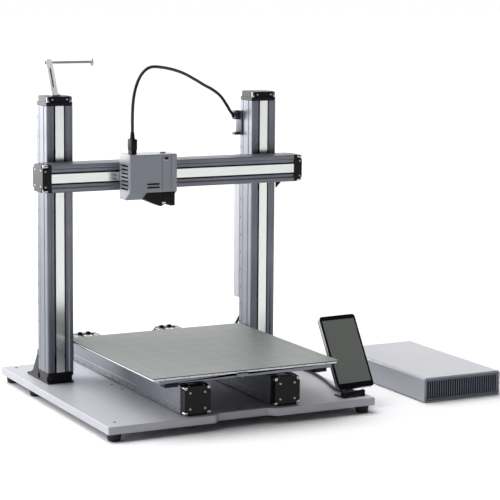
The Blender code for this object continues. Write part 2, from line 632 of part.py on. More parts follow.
def head_cover(head):
    """Hood that is open to the beam, with vents in its sides and front and a mouth for the duct."""
    half = HEAD_WIDTH / 2
    outline = ((HEAD_BACK, -HEAD_TOP), (HEAD_FRONT + HEAD_CHAMFER_Y, -HEAD_TOP),
               (HEAD_FRONT, -HEAD_TOP + HEAD_CHAMFER_Z), (HEAD_FRONT, HEAD_TOP), (HEAD_BACK, HEAD_TOP))
    slope = HEAD_WALL * 0.4
    inner_front, inner_top = HEAD_FRONT + HEAD_WALL, HEAD_TOP - HEAD_WALL
    room = ((BITE, -inner_top), (HEAD_FRONT + HEAD_CHAMFER_Y + slope, -inner_top),
            (inner_front, -HEAD_TOP + HEAD_CHAMFER_Z + slope), (inner_front, inner_top), (BITE, inner_top))
    cover = make("head_cover", prism(outline, -half, half, axis="X"), "head_plastic", parent=head)
    cut(cover, prism(room, -half + HEAD_WALL, half - HEAD_WALL, axis="X"))
    cut(cover, box((DUCT_LEFT - GAP, HEAD_FRONT - BITE, -HEAD_TOP - BITE),
                   (DUCT_RIGHT + GAP, NOZZLE_Y + DUCT_BACK + DUCT_ROOM, -HEAD_TOP + HEAD_CHAMFER_Z)))
    vent_y = HEAD_FRONT + VENT_INSET
    for side in (-1, 1):
        low, high = sorted((side * (half + BITE), side * (half - HEAD_WALL - BITE)))
        for index in range(VENT_COUNT):
            z = (index - (VENT_COUNT - 1) / 2) * VENT_PITCH
            cut(cover, box((low, vent_y, z - VENT_HEIGHT / 2),
                           (high, vent_y + VENT_LENGTH, z + VENT_HEIGHT / 2)))
    slot_right = FRONT_SLOT_LEFT + FRONT_SLOT_LENGTH
    for z in (FRONT_SLOT_Z, FRONT_SLOT_Z - FRONT_SLOT_PITCH):
        cut(cover, box((FRONT_SLOT_LEFT, HEAD_FRONT - BITE, z - FRONT_SLOT_HEIGHT / 2),
                       (slot_right, inner_front + BITE, z + FRONT_SLOT_HEIGHT / 2)))
    low, high = inner_top - BITE, HEAD_TOP + BITE
    cut(cover, rod(FILAMENT_HOLE_RADIUS, low, high, centre=(NOZZLE_X, NOZZLE_Y)))
    room = PLUG_STEM + GAP
    cut(cover, box((PLUG_X - room, PLUG_Y - room, low), (PLUG_X + room, PLUG_Y + room, high)))


def head_frame(head):
    """Back plate, shelf for the hot end and feed motor."""
    half = HEAD_PLATE_WIDTH / 2
    low, high = -HEAD_TOP + HEAD_WALL + RUN, HEAD_TOP - HEAD_WALL - RUN
    plate = box((-half, FRAME_FRONT, low), (half, FRAME_BACK, high))
    frame = make("head_frame", plate, "anodised", parent=head)
    left, front, back = -half + SHELF_INSET, HEAD_FRONT + SHELF_FRONT, FRAME_FRONT + BITE
    sink = circle(HEAT_SINK_RADIUS + GAP, centre=(NOZZLE_X, NOZZLE_Y))
    shelf = prism(((left, back), (left, front), (half, front), (half, back)),
                  SHELF_LOW, SHELF_LOW + SHELF_THICK, holes=(sink,))
    feeder = FEEDER_SIZE / 2
    motor = box((GEAR_X - feeder, FEEDER_FRONT, FEEDER_Z - feeder),
                (GEAR_X + feeder, back, FEEDER_Z + feeder))
    fan_pin = rod(SHAFT_RADIUS, FRAME_FRONT - FAN_PIN_LENGTH, back, 8, (FAN_X, 0), "Y")
    join(frame, shelf, motor, fan_pin)
    for x in (GEAR_X, IDLER_X):
        cut(frame, rod(SHAFT_RADIUS + GAP, FEEDER_FRONT - BITE, FEEDER_FRONT + GEAR_WIDTH,
                       centre=(x, FEEDER_Z), axis="Y"))


def head_rotors(head):
    """The toothed feed gear, the idler wheel that presses the filament on it and the fan."""
    teeth = []
    for tooth in range(GEAR_TEETH):
        for part, radius in ((0, 0.9), (0.3, 1), (0.6, 1)):
            angle = math.tau * (tooth + part) / GEAR_TEETH
            teeth.append((GEAR_RADIUS * radius * math.cos(angle), GEAR_RADIUS * radius * math.sin(angle)))
    shaft = GEAR_WIDTH - RUN
    half = GEAR_WIDTH / 2
    gear = make("feed_gear", prism(teeth, -half, half, axis="Y"), "steel",
                at=(GEAR_X, NOZZLE_Y, FEEDER_Z), parent=head)
    join(gear, rod(SHAFT_RADIUS, half - BITE, half + shaft, axis="Y"))
    wheel = ((0, -half), (IDLER_RADIUS, -half), (IDLER_RADIUS, half), (SHAFT_RADIUS, half),
             (SHAFT_RADIUS, half + shaft), (0, half + shaft))
    make("idler_wheel", turned(wheel, axis="Y"), "steel", at=(IDLER_X, NOZZLE_Y, FEEDER_Z), parent=head)
    blades = []
    for blade in range(FAN_BLADES):
        for part, radius in ((0.1, FAN_HUB_RADIUS), (0.5, FAN_RADIUS),
                             (0.65, FAN_RADIUS), (0.3, FAN_HUB_RADIUS)):
            angle = math.tau * (blade + part) / FAN_BLADES
            blades.append((radius * math.cos(angle), radius * math.sin(angle)))
    hub = circle(SHAFT_RADIUS + GAP, 8)
    fan_y = FRAME_FRONT - BITE - FAN_WIDTH
    make("cooling_fan", prism(blades, 0, FAN_WIDTH, holes=(hub,), axis="Y"), "black_plastic",
         at=(FAN_X, fan_y, 0), parent=head)


def duct_and_nozzle(head):
    """Black air duct around the hot end, and the hot end down to the nozzle's tip."""
    left, right = DUCT_LEFT, DUCT_RIGHT
    front, back = HEAD_FRONT + DUCT_INSET, NOZZLE_Y + DUCT_BACK
    slot = HEAT_SINK_RADIUS + RUN
    slot_left, slot_right, slot_back = NOZZLE_X - slot, NOZZLE_X + slot, NOZZLE_Y + slot
    low, high = NOZZLE_TIP_Z + BITE, SHELF_LOW - GAP
    outline = ((left, front), (slot_left, front), (slot_left, slot_back), (slot_right, slot_back),
               (slot_right, front), (right, front), (right, back), (left, back))
    slant = (-DUCT_SLICE, 0, -DUCT_SLICE_RUN)
    body = slice_off(prism(outline, low, high), (left, 0, low + DUCT_SLICE), slant)
    make("part_cooling_duct", body, "black_plastic", parent=head)
    tip = NOZZLE_TIP_Z
    block_low = tip + 8 * MM
    block_high = block_low + 12 * MM
    sink_low = block_high + 3 * MM
    sink_high = SHELF_LOW + SHELF_THICK + 3 * MM
    profile = ((0, tip), (0.5 * MM, tip), (3.2 * MM, tip + 3 * MM), (4 * MM, tip + 3.5 * MM),
               (4 * MM, tip + 6.5 * MM), (2.8 * MM, tip + 7 * MM), (2.8 * MM, block_low),
               (HEAT_BLOCK_RADIUS, block_low),
               (HEAT_BLOCK_RADIUS, block_high), (2.2 * MM, block_high), (2.2 * MM, sink_low),
               (HEAT_SINK_RADIUS, sink_low), (HEAT_SINK_RADIUS, sink_high), (0, sink_high))
    make("hot_end_nozzle", turned(profile), "copper", at=(NOZZLE_X, NOZZLE_Y, 0), parent=head)


def head_plug(head):
    """The cable's plug in the top of the head, with its strain relief."""
    low = HEAD_TOP + GAP
    half_x, half_y = PLUG_WIDTH / 2, PLUG_DEPTH / 2
    shell_top = low + PLUG_HEIGHT
    shell = prism(rounded(-half_x, -half_y, half_x, half_y, 2 * MM, 2), low, shell_top)
    plug = make("head_plug", shell, "black_plastic", at=(PLUG_X, PLUG_Y, 0), parent=head)
    relief_top = shell_top + RELIEF_HEIGHT
    relief = ((0, shell_top - BITE), (half_x * 0.8, shell_top - BITE),
              (HEAD_CABLE_DIAMETER / 2 + BITE / 2, relief_top), (0, relief_top))
    stem = box((-PLUG_STEM, -PLUG_STEM, low - PLUG_STEM_LENGTH), (PLUG_STEM, PLUG_STEM, low + BITE))
    join(plug, stem, turned(relief))


def head():
    carrier = holder("head", Matrix.Translation((HEAD_X, BEAM_FRONT, BEAM_HEIGHT)), MACHINE)
    head_cover(carrier)
    head_frame(carrier)
    head_rotors(carrier)
    duct_and_nozzle(carrier)
    head_plug(carrier)


# ---------------------------------------------------------------- on the columns
def spool_holder():
    """A slotted arm that leans back from the left column's top, and the rod for the spool."""
    top = COLUMN_BASE_Z + MODULE_LENGTH + GAP
    middle_y = COLUMN_FRONT + MODULE_DEPTH / 2
    lean = math.atan2(ARM_LEAN, ARM_RISE)
    length = math.hypot(ARM_LEAN, ARM_RISE)
    place = Matrix.Translation((-COLUMN_SPACING / 2, middle_y, top))
    carrier = holder("spool_holder", place, MACHINE)
    half = ARM_WIDTH / 2
    slot_half = ARM_SLOT_WIDTH / 2
    slot = rounded(-slot_half, ARM_SLOT_LOW, slot_half, length - ARM_SLOT_TOP, slot_half * 0.93, 2)
    bar = rounded(-half, -ARM_THICK / 2, half, length + half, half * 0.8, 3)
    arm = prism(bar, -ARM_THICK / 2, ARM_THICK / 2, holes=(slot,), axis="Y")
    arm = slice_off(moved(arm, Matrix.Rotation(-lean, 4, "X")), (0, 0, BITE), (0, 0, -1))
    base_x, base_y = half + ARM_BASE_MARGIN, ARM_BASE_DEPTH / 2
    piece = make("spool_arm", box((-base_x, -base_y, 0), (base_x, base_y, 2 * BITE)), "white_metal",
                 parent=carrier)
    join(piece, arm)
    cut(piece, rod(SPOOL_ROD_RADIUS + GAP, -half - BITE, half + BITE, 12, (ARM_LEAN, ARM_RISE), "X"))
    head_radius = SPOOL_ROD_RADIUS + 1.5 * MM
    start, end = -half - GAP, -half + SPOOL_ROD_LENGTH
    profile = ((0, start - 2 * MM), (head_radius, start - 2 * MM), (head_radius, start),
               (SPOOL_ROD_RADIUS, start), (SPOOL_ROD_RADIUS, end - 3 * MM),
               (SPOOL_FLANGE_RADIUS, end - 2 * MM), (SPOOL_FLANGE_RADIUS, end), (0, end + 2 * MM))
    make("spool_rod", turned(profile, axis="X"), "white_metal", at=(0, ARM_LEAN, ARM_RISE), parent=carrier)


def cable_direction(route, last):
    """Unit vector in which a route ends, or starts if last is False."""
    first, second = (route[-2], route[-1]) if last else (route[1], route[0])
    return (Vector(second) - Vector(first)).normalized()


def controller_and_clip():
    """The controller behind the right column, and the clip that holds the head's cable."""
    middle_x = COLUMN_SPACING / 2
    back = COLUMN_FRONT + MODULE_DEPTH + GAP
    half = CONTROLLER_WIDTH / 2
    case = rounded(middle_x - half, back, middle_x + half, back + CONTROLLER_DEPTH, CONTROLLER_CORNER, 2)
    make("controller_case", prism(case, CONTROLLER_LOW, CONTROLLER_HIGH), "painted_plate")
    face = middle_x - MODULE_WIDTH / 2 - GAP
    clip = make("cable_clip", box((face - CLIP_THICK, CLIP_Y - CLIP_DEPTH / 2, CLIP_LOW),
                                  (face, CLIP_Y + CLIP_DEPTH / 2, CLIP_HIGH)), "black_metal")
    way = cable_direction(HEAD_CABLE_ROUTE, last=False)
    end = Vector(HEAD_CABLE_ROUTE[0]) * MM
    gland = rod(HEAD_CABLE_DIAMETER / 2 + BITE, GAP, CLIP_THICK, 10)
    aim = way.to_track_quat("Z", "Y").to_matrix().to_4x4()
    join(clip, moved(gland, Matrix.Translation(end) @ aim))


# ---------------------------------------------------------------- touchscreen
def touchscreen():
    """A stand with two lugs and a pin, and the screen that tilts on it."""
    place = Matrix.Translation((SCREEN_X, SCREEN_Y, 0)) @ Matrix.Rotation(SCREEN_TURN, 4, "Z")
    carrier = holder("touchscreen", place, MACHINE)
    half = BARREL_LENGTH / 2 + GAP + LUG_WIDTH
    low, high = GAP, GAP + STAND_THICK
    stand = make("screen_stand", box((-half, -STAND_FRONT, low), (half, STAND_BACK, high)), "black_metal",
                 parent=carrier)
    for side in (-1, 1):
        inner, outer = sorted((side * half, side * (half - LUG_WIDTH)))
        join(stand, box((inner, -BARREL_RADIUS, high - BITE),
                        (outer, BARREL_RADIUS, SCREEN_AXIS_Z + BARREL_RADIUS)))
    join(stand, rod(PIN_RADIUS, -half + BITE, half - BITE, 8, (0, SCREEN_AXIS_Z), "X"))
    gland = STAND_GLAND_WIDTH / 2
    join(stand, box((-gland, STAND_BACK - BITE, low + BITE / 2),
                    (gland, STAND_BACK + STAND_GLAND_LENGTH, STAND_GLAND_HEIGHT)))
    leaning = Matrix.Translation((0, 0, SCREEN_AXIS_Z)) @ Matrix.Rotation(-SCREEN_LEAN, 4, "X")
    hinge = holder("screen_hinge", leaning, carrier)
    panel = rounded(SCREEN_LEFT, SCREEN_BOTTOM, SCREEN_LEFT + SCREEN_WIDTH,
                    SCREEN_BOTTOM + SCREEN_HEIGHT, SCREEN_CORNER)
    screen = make("screen_body", prism(panel, SCREEN_BACK, SCREEN_BACK + SCREEN_THICK, axis="Y"),
                  "screen_glass", parent=hinge)
    barrel_half = BARREL_LENGTH / 2
    middle = SCREEN_BACK + SCREEN_THICK / 2
    arm = ((0, -BARREL_RADIUS / 2), (BARREL_RADIUS * 0.8, -BARREL_RADIUS / 4),
           (middle, SCREEN_BOTTOM - 2 * BITE), (middle, SCREEN_BOTTOM + BITE),
           (SCREEN_BACK + BITE, SCREEN_BOTTOM + BITE), (0, BARREL_RADIUS / 2))
    join(screen, prism(arm, -SCREEN_ARM_WIDTH / 2, SCREEN_ARM_WIDTH / 2, axis="X"))
    join(screen, rod(BARREL_RADIUS, -barrel_half, barrel_half, 12, axis="X"))
    cut(screen, rod(PIN_RADIUS + GAP, -barrel_half - BITE, barrel_half + BITE, 8, axis="X"))


# ---------------------------------------------------------------- power unit
def power_unit():
    """A sleeve with a louvred front and a rocker switch in its closed back."""
    carrier = holder("power_unit", Matrix.Translation((POWER_X, POWER_Y, FLOOR_Z)), MACHINE)
    half, deep = POWER_WIDTH / 2, POWER_DEPTH / 2
    sleeve = rounded(-half, 0, half, POWER_HEIGHT, POWER_CORNER, 3)
    case = make("power_case", prism(sleeve, -deep, deep, axis="Y"), "power_sleeve", parent=carrier)
    wall = POWER_WALL
    room = rounded(-half + wall, wall, half - wall, POWER_HEIGHT - wall, POWER_CORNER - wall, 2)
    cut(case, prism(room, -deep - BITE, deep - wall, axis="Y"))
    switch_x, switch_z = half - SWITCH_INSET, POWER_HEIGHT / 2
    across, tall = SWITCH_WIDTH / 2, SWITCH_HEIGHT / 2
    swing = 2 * RUN
    cut(case, box((switch_x - across - RUN, deep - wall - BITE, switch_z - tall - swing),
                  (switch_x + across + RUN, deep + BITE, switch_z + tall + swing)))
    pivot = deep - wall
    for side in (-1, 1):
        low, high = sorted((side * (across + RUN / 2), side * (across + SWITCH_EAR_DEPTH)))
        join(case, box((switch_x + low, pivot - SWITCH_EAR_DEPTH, switch_z - SWITCH_EAR_HEIGHT / 2),
                       (switch_x + high, pivot + BITE, switch_z + SWITCH_EAR_HEIGHT / 2)))
    rocker = ((-tall, 0.6 * MM), (0, -4 * MM), (tall, 0.6 * MM),
              (tall, 3.4 * MM), (0, 2.4 * MM), (-tall, 4.4 * MM))
    make("power_switch", prism([(y, z) for z, y in rocker], -across, across, axis="X"), "black_plastic",
         at=(switch_x, pivot, switch_z), parent=carrier)
    inner_half, inner_high = half - wall - GAP, POWER_HEIGHT - wall - GAP
    front = rounded(-inner_half, wall + GAP, inner_half, inner_high, POWER_CORNER - wall, 2)
    pitch = 2 * (inner_half - GRILLE_MARGIN_X) / GRILLE_COUNT
    low, high = GRILLE_MARGIN_Z, POWER_HEIGHT - GRILLE_MARGIN_Z
    slots = []
    for index in range(GRILLE_COUNT):
        middle = (index - (GRILLE_COUNT - 1) / 2) * pitch
        left, right = middle - pitch * 0.3, middle + pitch * 0.3
        slots.append(((left, low), (right, low), (right, high), (left, high)))
    face = -deep + BITE
    make("power_grille", prism(front, face, face + GRILLE_THICK, holes=slots, axis="Y"), "power_sleeve",
         parent=carrier)


# ---------------------------------------------------------------- cables
def smooth_route(points, spacing):
    """Evenly spaced points on a smooth curve through a route."""
    knots = [Vector(point) * MM for point in points]
    knots = [2 * knots[0] - knots[1], *knots, 2 * knots[-1] - knots[-2]]
    fine = []
    for a, b, c, d in zip(knots, knots[1:], knots[2:], knots[3:]):
        for step in range(12):
            t = step / 12
            slope, curl, twist = c - a, 2 * a - 5 * b + 4 * c - d, 3 * b - a - 3 * c + d
            fine.append(0.5 * (2 * b + slope * t + curl * t ** 2 + twist * t ** 3))
    fine.append(knots[-2])
    lengths = [0.0]
    for first, second in zip(fine, fine[1:]):
        lengths.append(lengths[-1] + (second - first).length)
    count = round(lengths[-1] / spacing)
    even, place = [], 0
    for index in range(count + 1):
        target = lengths[-1] * index / count
        while place < len(fine) - 2 and lengths[place + 1] < target:
            place += 1
        span = lengths[place + 1] - lengths[place]
        even.append(fine[place].lerp(fine[place + 1], (target - lengths[place]) / span))
    return even


def cable(name, points, diameter):
    """A round cable with closed ends along a smooth route."""
    path = smooth_route(points, 2.4 * diameter)
    curve = bpy.data.curves.new(name, "CURVE")
    curve.dimensions = "3D"
    curve.bevel_depth = diameter / 2
    curve.bevel_resolution = 2
    curve.use_fill_caps = True
    spline = curve.splines.new("POLY")
    spline.points.add(len(path) - 1)
    for point, place in zip(spline.points, path):
        point.co = (*place, 1)
    curve.materials.append(FINISHES["cable"])
    piece = bpy.data.objects.new(name, curve)
    bpy.context.scene.collection.objects.link(piece)
    piece.parent = MACHINE


def cables():
    """The head's cable in two halves that meet over the beam, and the touchscreen's cable."""
    join_point = Vector(HEAD_CABLE_ROUTE[HEAD_CABLE_JOIN])
    after = Vector(HEAD_CABLE_ROUTE[HEAD_CABLE_JOIN + 1])
    step = (after - join_point).normalized() * (GAP / MM)
    upper = (*HEAD_CABLE_ROUTE[:HEAD_CABLE_JOIN], tuple(join_point))
    lower = (tuple(join_point + step), *HEAD_CABLE_ROUTE[HEAD_CABLE_JOIN + 1:])
    cable("head_cable_upper", upper, HEAD_CABLE_DIAMETER)
    cable("head_cable_lower", lower, HEAD_CABLE_DIAMETER)
    cable("screen_cable", SCREEN_CABLE_ROUTE, SCREEN_CABLE_DIAMETER)


base_plate()
feet()
modules()
bed()
head()
spool_holder()
controller_and_clip()
touchscreen()
power_unit()
cables()
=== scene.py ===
# %% [markdown]
# # A desktop filament printer
#
# A printer of this kind is a kit of five equal linear modules on a thick base plate: two under the
# bed, two columns and a beam. The solids of its frame come ready made, at their real size. This
# lesson gives them their looks: rounded edges, screws, cables and finishes, and then the studio
# light that they are seen in.

# %% Load the frame
import json
import math

import bmesh
import bpy
from mathutils import Matrix, Vector


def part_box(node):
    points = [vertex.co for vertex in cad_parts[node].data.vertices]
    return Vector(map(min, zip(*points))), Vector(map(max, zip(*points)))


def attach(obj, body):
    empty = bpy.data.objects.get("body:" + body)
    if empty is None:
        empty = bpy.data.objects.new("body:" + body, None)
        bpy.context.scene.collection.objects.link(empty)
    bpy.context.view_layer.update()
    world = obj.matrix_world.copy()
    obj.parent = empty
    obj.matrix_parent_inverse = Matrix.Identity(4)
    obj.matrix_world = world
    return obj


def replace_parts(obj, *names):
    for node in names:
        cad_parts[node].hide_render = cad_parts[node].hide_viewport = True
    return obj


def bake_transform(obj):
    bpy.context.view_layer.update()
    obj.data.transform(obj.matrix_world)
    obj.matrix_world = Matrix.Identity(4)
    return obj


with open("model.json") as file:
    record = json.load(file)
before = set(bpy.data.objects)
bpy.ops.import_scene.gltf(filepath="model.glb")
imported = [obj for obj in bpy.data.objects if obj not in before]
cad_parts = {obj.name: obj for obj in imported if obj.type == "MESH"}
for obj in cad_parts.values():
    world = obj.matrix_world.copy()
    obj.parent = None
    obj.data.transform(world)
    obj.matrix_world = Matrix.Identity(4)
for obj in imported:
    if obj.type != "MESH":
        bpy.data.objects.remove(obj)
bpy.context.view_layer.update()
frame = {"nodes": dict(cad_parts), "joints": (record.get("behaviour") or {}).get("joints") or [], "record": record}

MM = 0.001
plate_low, plate_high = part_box("base_plate")
DECK = Vector(((plate_low.x + plate_high.x) / 2, (plate_low.y + plate_high.y) / 2, plate_high.z))


def on_deck(x, y, z):
    """A point in millimetres from the middle of the deck."""
    return DECK + Vector((x, y, z)) * MM


def linked(name, data):
    """A new object that holds some data, in the scene."""
    thing = bpy.data.objects.new(name, data)
    bpy.context.scene.collection.objects.link(thing)
    return thing


print("solids in the frame:", len(frame["nodes"]))

# %% [markdown]
# ## The camera
#
# A long lens from far away keeps the columns upright and nearly parallel. The camera stands to the
# left of the machine and a little above it. A small vertical shift slides the picture over the
# film, so that the lens can look at the machine almost level and still leave room above it.

# %% Camera
TURN = math.radians(-27.232)
DOWN = math.radians(6.931)
ROLL = math.radians(0.455)
CAMERA_SPOT = (-1359.8, -2901.1, 715.4)

lens = bpy.data.cameras.new("camera")
lens.lens = 132.25
lens.shift_y = -0.1
lens.clip_end = 100
camera = linked("camera", lens)
bpy.context.scene.camera = camera
level = Matrix.Rotation(math.pi / 2 - DOWN, 4, "X")
aim = Matrix.Rotation(TURN, 4, "Z") @ level @ Matrix.Rotation(ROLL, 4, "Z")
camera.matrix_world = Matrix.Translation(on_deck(*CAMERA_SPOT)) @ aim
print("camera is", round((camera.location - DECK).length, 2), "m from the deck")

# %% [markdown]
# ## The cables
#
# A cable has a length that doesn't change, so its route comes before everything near it. The
# route is a short list of points that a smooth curve passes through. A curve object with a round
# bevel turns that line into a tube, and the tube becomes a mesh. The head's cable crosses two
# joints, so it is made in two halves that meet at the top of its arc.

# %% Cable routes
HEAD_CABLE = 5.6 * MM
HEAD_ROUTE = (
    (165.6, 129.0, 459.6), (159.6, 126.2, 464.4), (152.6, 122.6, 471.2), (142.6, 117.6, 482.9),
    (125.9, 108.9, 499.4), (103.9, 97.5, 511.9), (85.0, 87.6, 519.7), (58.3, 73.6, 531.8),
    (32.0, 59.9, 542.8), (6.2, 46.4, 550.6), (-19.3, 33.1, 555.8), (-40.5, 21.6, 558.6),
    (-56.0, 13.2, 558.4), (-69.1, 6.6, 553.6), (-80.6, 1.3, 543.6), (-89.2, -2.1, 528.6),
    (-94.8, -4.0, 510.6), (-97.4, -4.8, 490.3), (-98.1, -5.0, 469.7), (-98.0, -5.0, 449.7),
)
HALFWAY = 11
SCREEN_CABLE = 5.5 * MM
SCREEN_ROUTE = (
    (213.9, -201.6, 3.3), (213.0, -190, 3.2), (213.6, -176, 3.1), (217, -158, 3.1),
    (223, -136, 3.1), (229, -112, 3.1), (235, -84, 3.1), (240, -54, 3.1), (242.5, -24, 3.1),
    (242, 8, 3.1), (239, 40, 3.1), (236, 72, 3.1), (234, 104, 3.1), (233, 134, 3.1),
    (232, 160, 3.1), (227, 186, 3.3), (215, 206, 5.5), (203, 211, 13), (198, 204, 27),
    (198, 190, 47), (199, 172, 69), (199.8, 154, 88), (200, 142, 101), (200, 137.2, 110),
    (200, 137, 118.5),
)


def smooth_line(route, spacing):
    """Evenly spaced points on a smooth curve through the points of a route."""
    knots = [on_deck(*point) for point in route]
    knots = [2 * knots[0] - knots[1], *knots, 2 * knots[-1] - knots[-2]]
    fine = []
    for a, b, c, d in zip(knots, knots[1:], knots[2:], knots[3:]):
        for step in range(12):
            t = step / 12
            slope, curl, twist = c - a, 2 * a - 5 * b + 4 * c - d, 3 * b - a - 3 * c + d
            fine.append(0.5 * (2 * b + slope * t + curl * t ** 2 + twist * t ** 3))
    fine.append(knots[-2])
    run = [0.0]
    for first, second in zip(fine, fine[1:]):
        run.append(run[-1] + (second - first).length)
    count = round(run[-1] / spacing)
    even, place = [], 0
    for index in range(count + 1):
        target = run[-1] * index / count
        while place < len(fine) - 2 and run[place + 1] < target:
            place += 1
        share = (target - run[place]) / (run[place + 1] - run[place])
        even.append(fine[place].lerp(fine[place + 1], share))
    return even, run[-1]


def tube(name, line, diameter):
    """A round tube with closed ends along a line, as a mesh."""
    curve = bpy.data.curves.new(name, "CURVE")
    curve.dimensions = "3D"
    curve.bevel_depth = diameter / 2
    curve.bevel_resolution = 6
    curve.use_fill_caps = True
    spline = curve.splines.new("POLY")
    spline.points.add(len(line) - 1)
    for point, place in zip(spline.points, line):
        point.co = (*place, 1)
    carrier = linked(f"{name}_line", curve)
    bpy.context.view_layer.update()
    mesh = bpy.data.meshes.new_from_object(carrier.evaluated_get(bpy.context.evaluated_depsgraph_get()))
    bpy.data.objects.remove(carrier)
    mesh.shade_smooth()
    mesh.set_sharp_from_angle(angle=math.radians(50))
    return linked(name, mesh)


# %% Run the cables
middle = Vector(HEAD_ROUTE[HALFWAY])
onward = Vector(HEAD_ROUTE[HALFWAY + 1])
upper_route = (*HEAD_ROUTE[:HALFWAY], tuple(middle))
lower_route = (tuple(middle + (onward - middle).normalized() * 0.3), *HEAD_ROUTE[HALFWAY + 1:])
cables = {}
for name, route, diameter in (("head_cable_clip_half", upper_route, HEAD_CABLE),
                              ("head_cable_head_half", lower_route, HEAD_CABLE),
                              ("touchscreen_cable", SCREEN_ROUTE, SCREEN_CABLE)):
    line, length = smooth_line(route, 0.7 * diameter)
    cables[name] = tube(name, line, diameter), line, length
    print(name, round(length, 4), "m")

# %% [markdown]
# ## Shader maths in Python
#
# A finish is a Principled shader with a few nodes that vary it. Wiring nodes by hand hides the
# idea behind the links, so one small class wraps a socket and lets Python's own operators add
# the Math nodes. Then `1 - mask` or `grain * 0.2 + 0.4` reads like the formula that it is.

# %% A socket that can be used in formulas
def seen(red, green, blue):
    """A colour given as it looks on a display, from 0 to 255, as linear light."""
    shares = [value / 255 for value in (red, green, blue)]
    return (*[((c + 0.055) / 1.055) ** 2.4 if c > 0.04 else c / 12.92 for c in shares], 1)


class Field:
    """A socket of a finish. An operator on it adds a Math node and gives the node's socket."""

    def __init__(self, finish, socket):
        self.finish = finish
        self.socket = socket

    def maths(self, operation, *values):
        return self.finish.add("Math", {"operation": operation}, dict(enumerate(values)))

    def __add__(self, other):
        return self.maths("ADD", self, other)

    def __radd__(self, other):
        return self.maths("ADD", other, self)

    def __sub__(self, other):
        return self.maths("SUBTRACT", self, other)

    def __rsub__(self, other):
        return self.maths("SUBTRACT", other, self)

    def __mul__(self, other):
        return self.maths("MULTIPLY", self, other)

    def __rmul__(self, other):
        return self.maths("MULTIPLY", other, self)

    def __truediv__(self, other):
        return self.maths("DIVIDE", self, other)

    def __gt__(self, other):
        return self.maths("GREATER_THAN", self, other)

    def __lt__(self, other):
        return self.maths("LESS_THAN", self, other)


class Finish:
    """A material: constants on its Principled shader, and the nodes that vary some of them."""

    def __init__(self, slot, colour, roughness, metallic=0.0, **constants):
        self.slot = slot
        self.material = bpy.data.materials.new(slot)
        self.material.use_nodes = True
        self.nodes = self.material.node_tree.nodes
        self.shader = self.nodes["Principled BSDF"]
        self.put("Base Color", colour)
        self.put("Roughness", roughness)
        self.put("Metallic", metallic)
        for name, value in constants.items():
            self.put(name.replace("_", " "), value)

    def put(self, socket, value):
        """Set one of the shader's sockets, or link a field to it."""
        self.feed(self.shader.inputs[socket], value)

    def feed(self, socket, value):
        """Set any node's socket, or link a field to it."""
        if isinstance(value, Field):
            self.material.node_tree.links.new(value.socket, socket)
        else:
            socket.default_value = value

    def add(self, kind, settings=None, values=None, output=0):
        """A node of a type, with its settings first and then what its sockets hold."""
        node = self.nodes.new(f"ShaderNode{kind}")
        settings = dict(settings or {})
        stops = settings.pop("stops", ())
        for name, value in settings.items():
            setattr(node, name, value)
        for index, (position, colour) in enumerate(stops):
            if index >= len(node.color_ramp.elements):
                node.color_ramp.elements.new(position)
            node.color_ramp.elements[index].position = position
            node.color_ramp.elements[index].color = colour
        for name, value in (values or {}).items():
            self.feed(node.inputs[name], value)
        return Field(self, node.outputs[output])

    def place(self, axis=None):
        """Where a point is on the object, as a vector or along one axis, in metres."""
        spot = self.add("TexCoord", output="Object")
        if axis is None:
            return spot
        return self.add("SeparateXYZ", values={0: spot}, output="XYZ".index(axis))

    def noise(self, size, stretch=(1, 1, 1), detail=2.0, rough=0.5):
        """Soft random spots of a size in metres, drawn out along an axis by its stretch."""
        scale = tuple(1 / (size * pull) for pull in stretch)
        spot = self.add("Mapping", values={"Vector": self.place(), "Scale": scale})
        shape = {"Vector": spot, "Scale": 1.0, "Detail": detail, "Roughness": rough}
        return self.add("TexNoise", values=shape)

    def blend(self, share, first, second):
        """One colour turning into another as the share goes from 0 to 1."""
        return self.add("Mix", {"data_type": "RGBA"}, {0: share, 6: first, 7: second}, output=2)

    def relief(self, height, depth, strength):
        """Bumps of a depth in metres."""
        bump = self.add("Bump", values={"Height": height, "Distance": depth, "Strength": strength})
        self.put("Normal", bump)


# %% [markdown]
# ## Finishes
#
# Each finish has one thing that the eye expects. Anodised aluminium has a faint grain along the
# profile and clouds in its gloss. A steel strip has long scratches that spread its highlights.
# Moulded plastic has a fine even texture, and paint has a thin clear coat over soft clouds.
# Sizes are in metres, so that the grain has its real scale on every piece.

# %% Painted, anodised and steel finishes
def painted(slot, colour, dark):
    """Sprayed paint with a thin clear coat, a little darker in soft clouds."""
    finish = Finish(slot, colour, 0.42, 0.0, Coat_Weight=0.15, Coat_Roughness=0.3)
    cloud = finish.noise(60 * MM, detail=3)
    grain = finish.noise(0.5 * MM, detail=2)
    finish.put("Base Color", finish.blend(cloud, colour, dark))
    finish.put("Roughness", 0.34 + grain * 0.16)
    finish.relief(grain, 0.04 * MM, 0.35)
    return finish


def anodised(slot, colour, dark, along, roughness=0.34, metallic=0.75):
    """Fine lines along the profile, from the die that it was pressed through."""
    stretch = tuple(60 if axis == along else 1 for axis in "XYZ")
    finish = Finish(slot, colour, roughness, metallic)
    lines = finish.noise(0.35 * MM, stretch, 3, 0.7)
    cloud = finish.noise(45 * MM, detail=3)
    finish.put("Base Color", finish.blend(cloud * 0.7 + lines * 0.3, colour, dark))
    finish.put("Roughness", roughness - 0.06 + lines * 0.1 + cloud * 0.06)
    finish.relief(lines, 0.02 * MM, 0.4)
    return finish


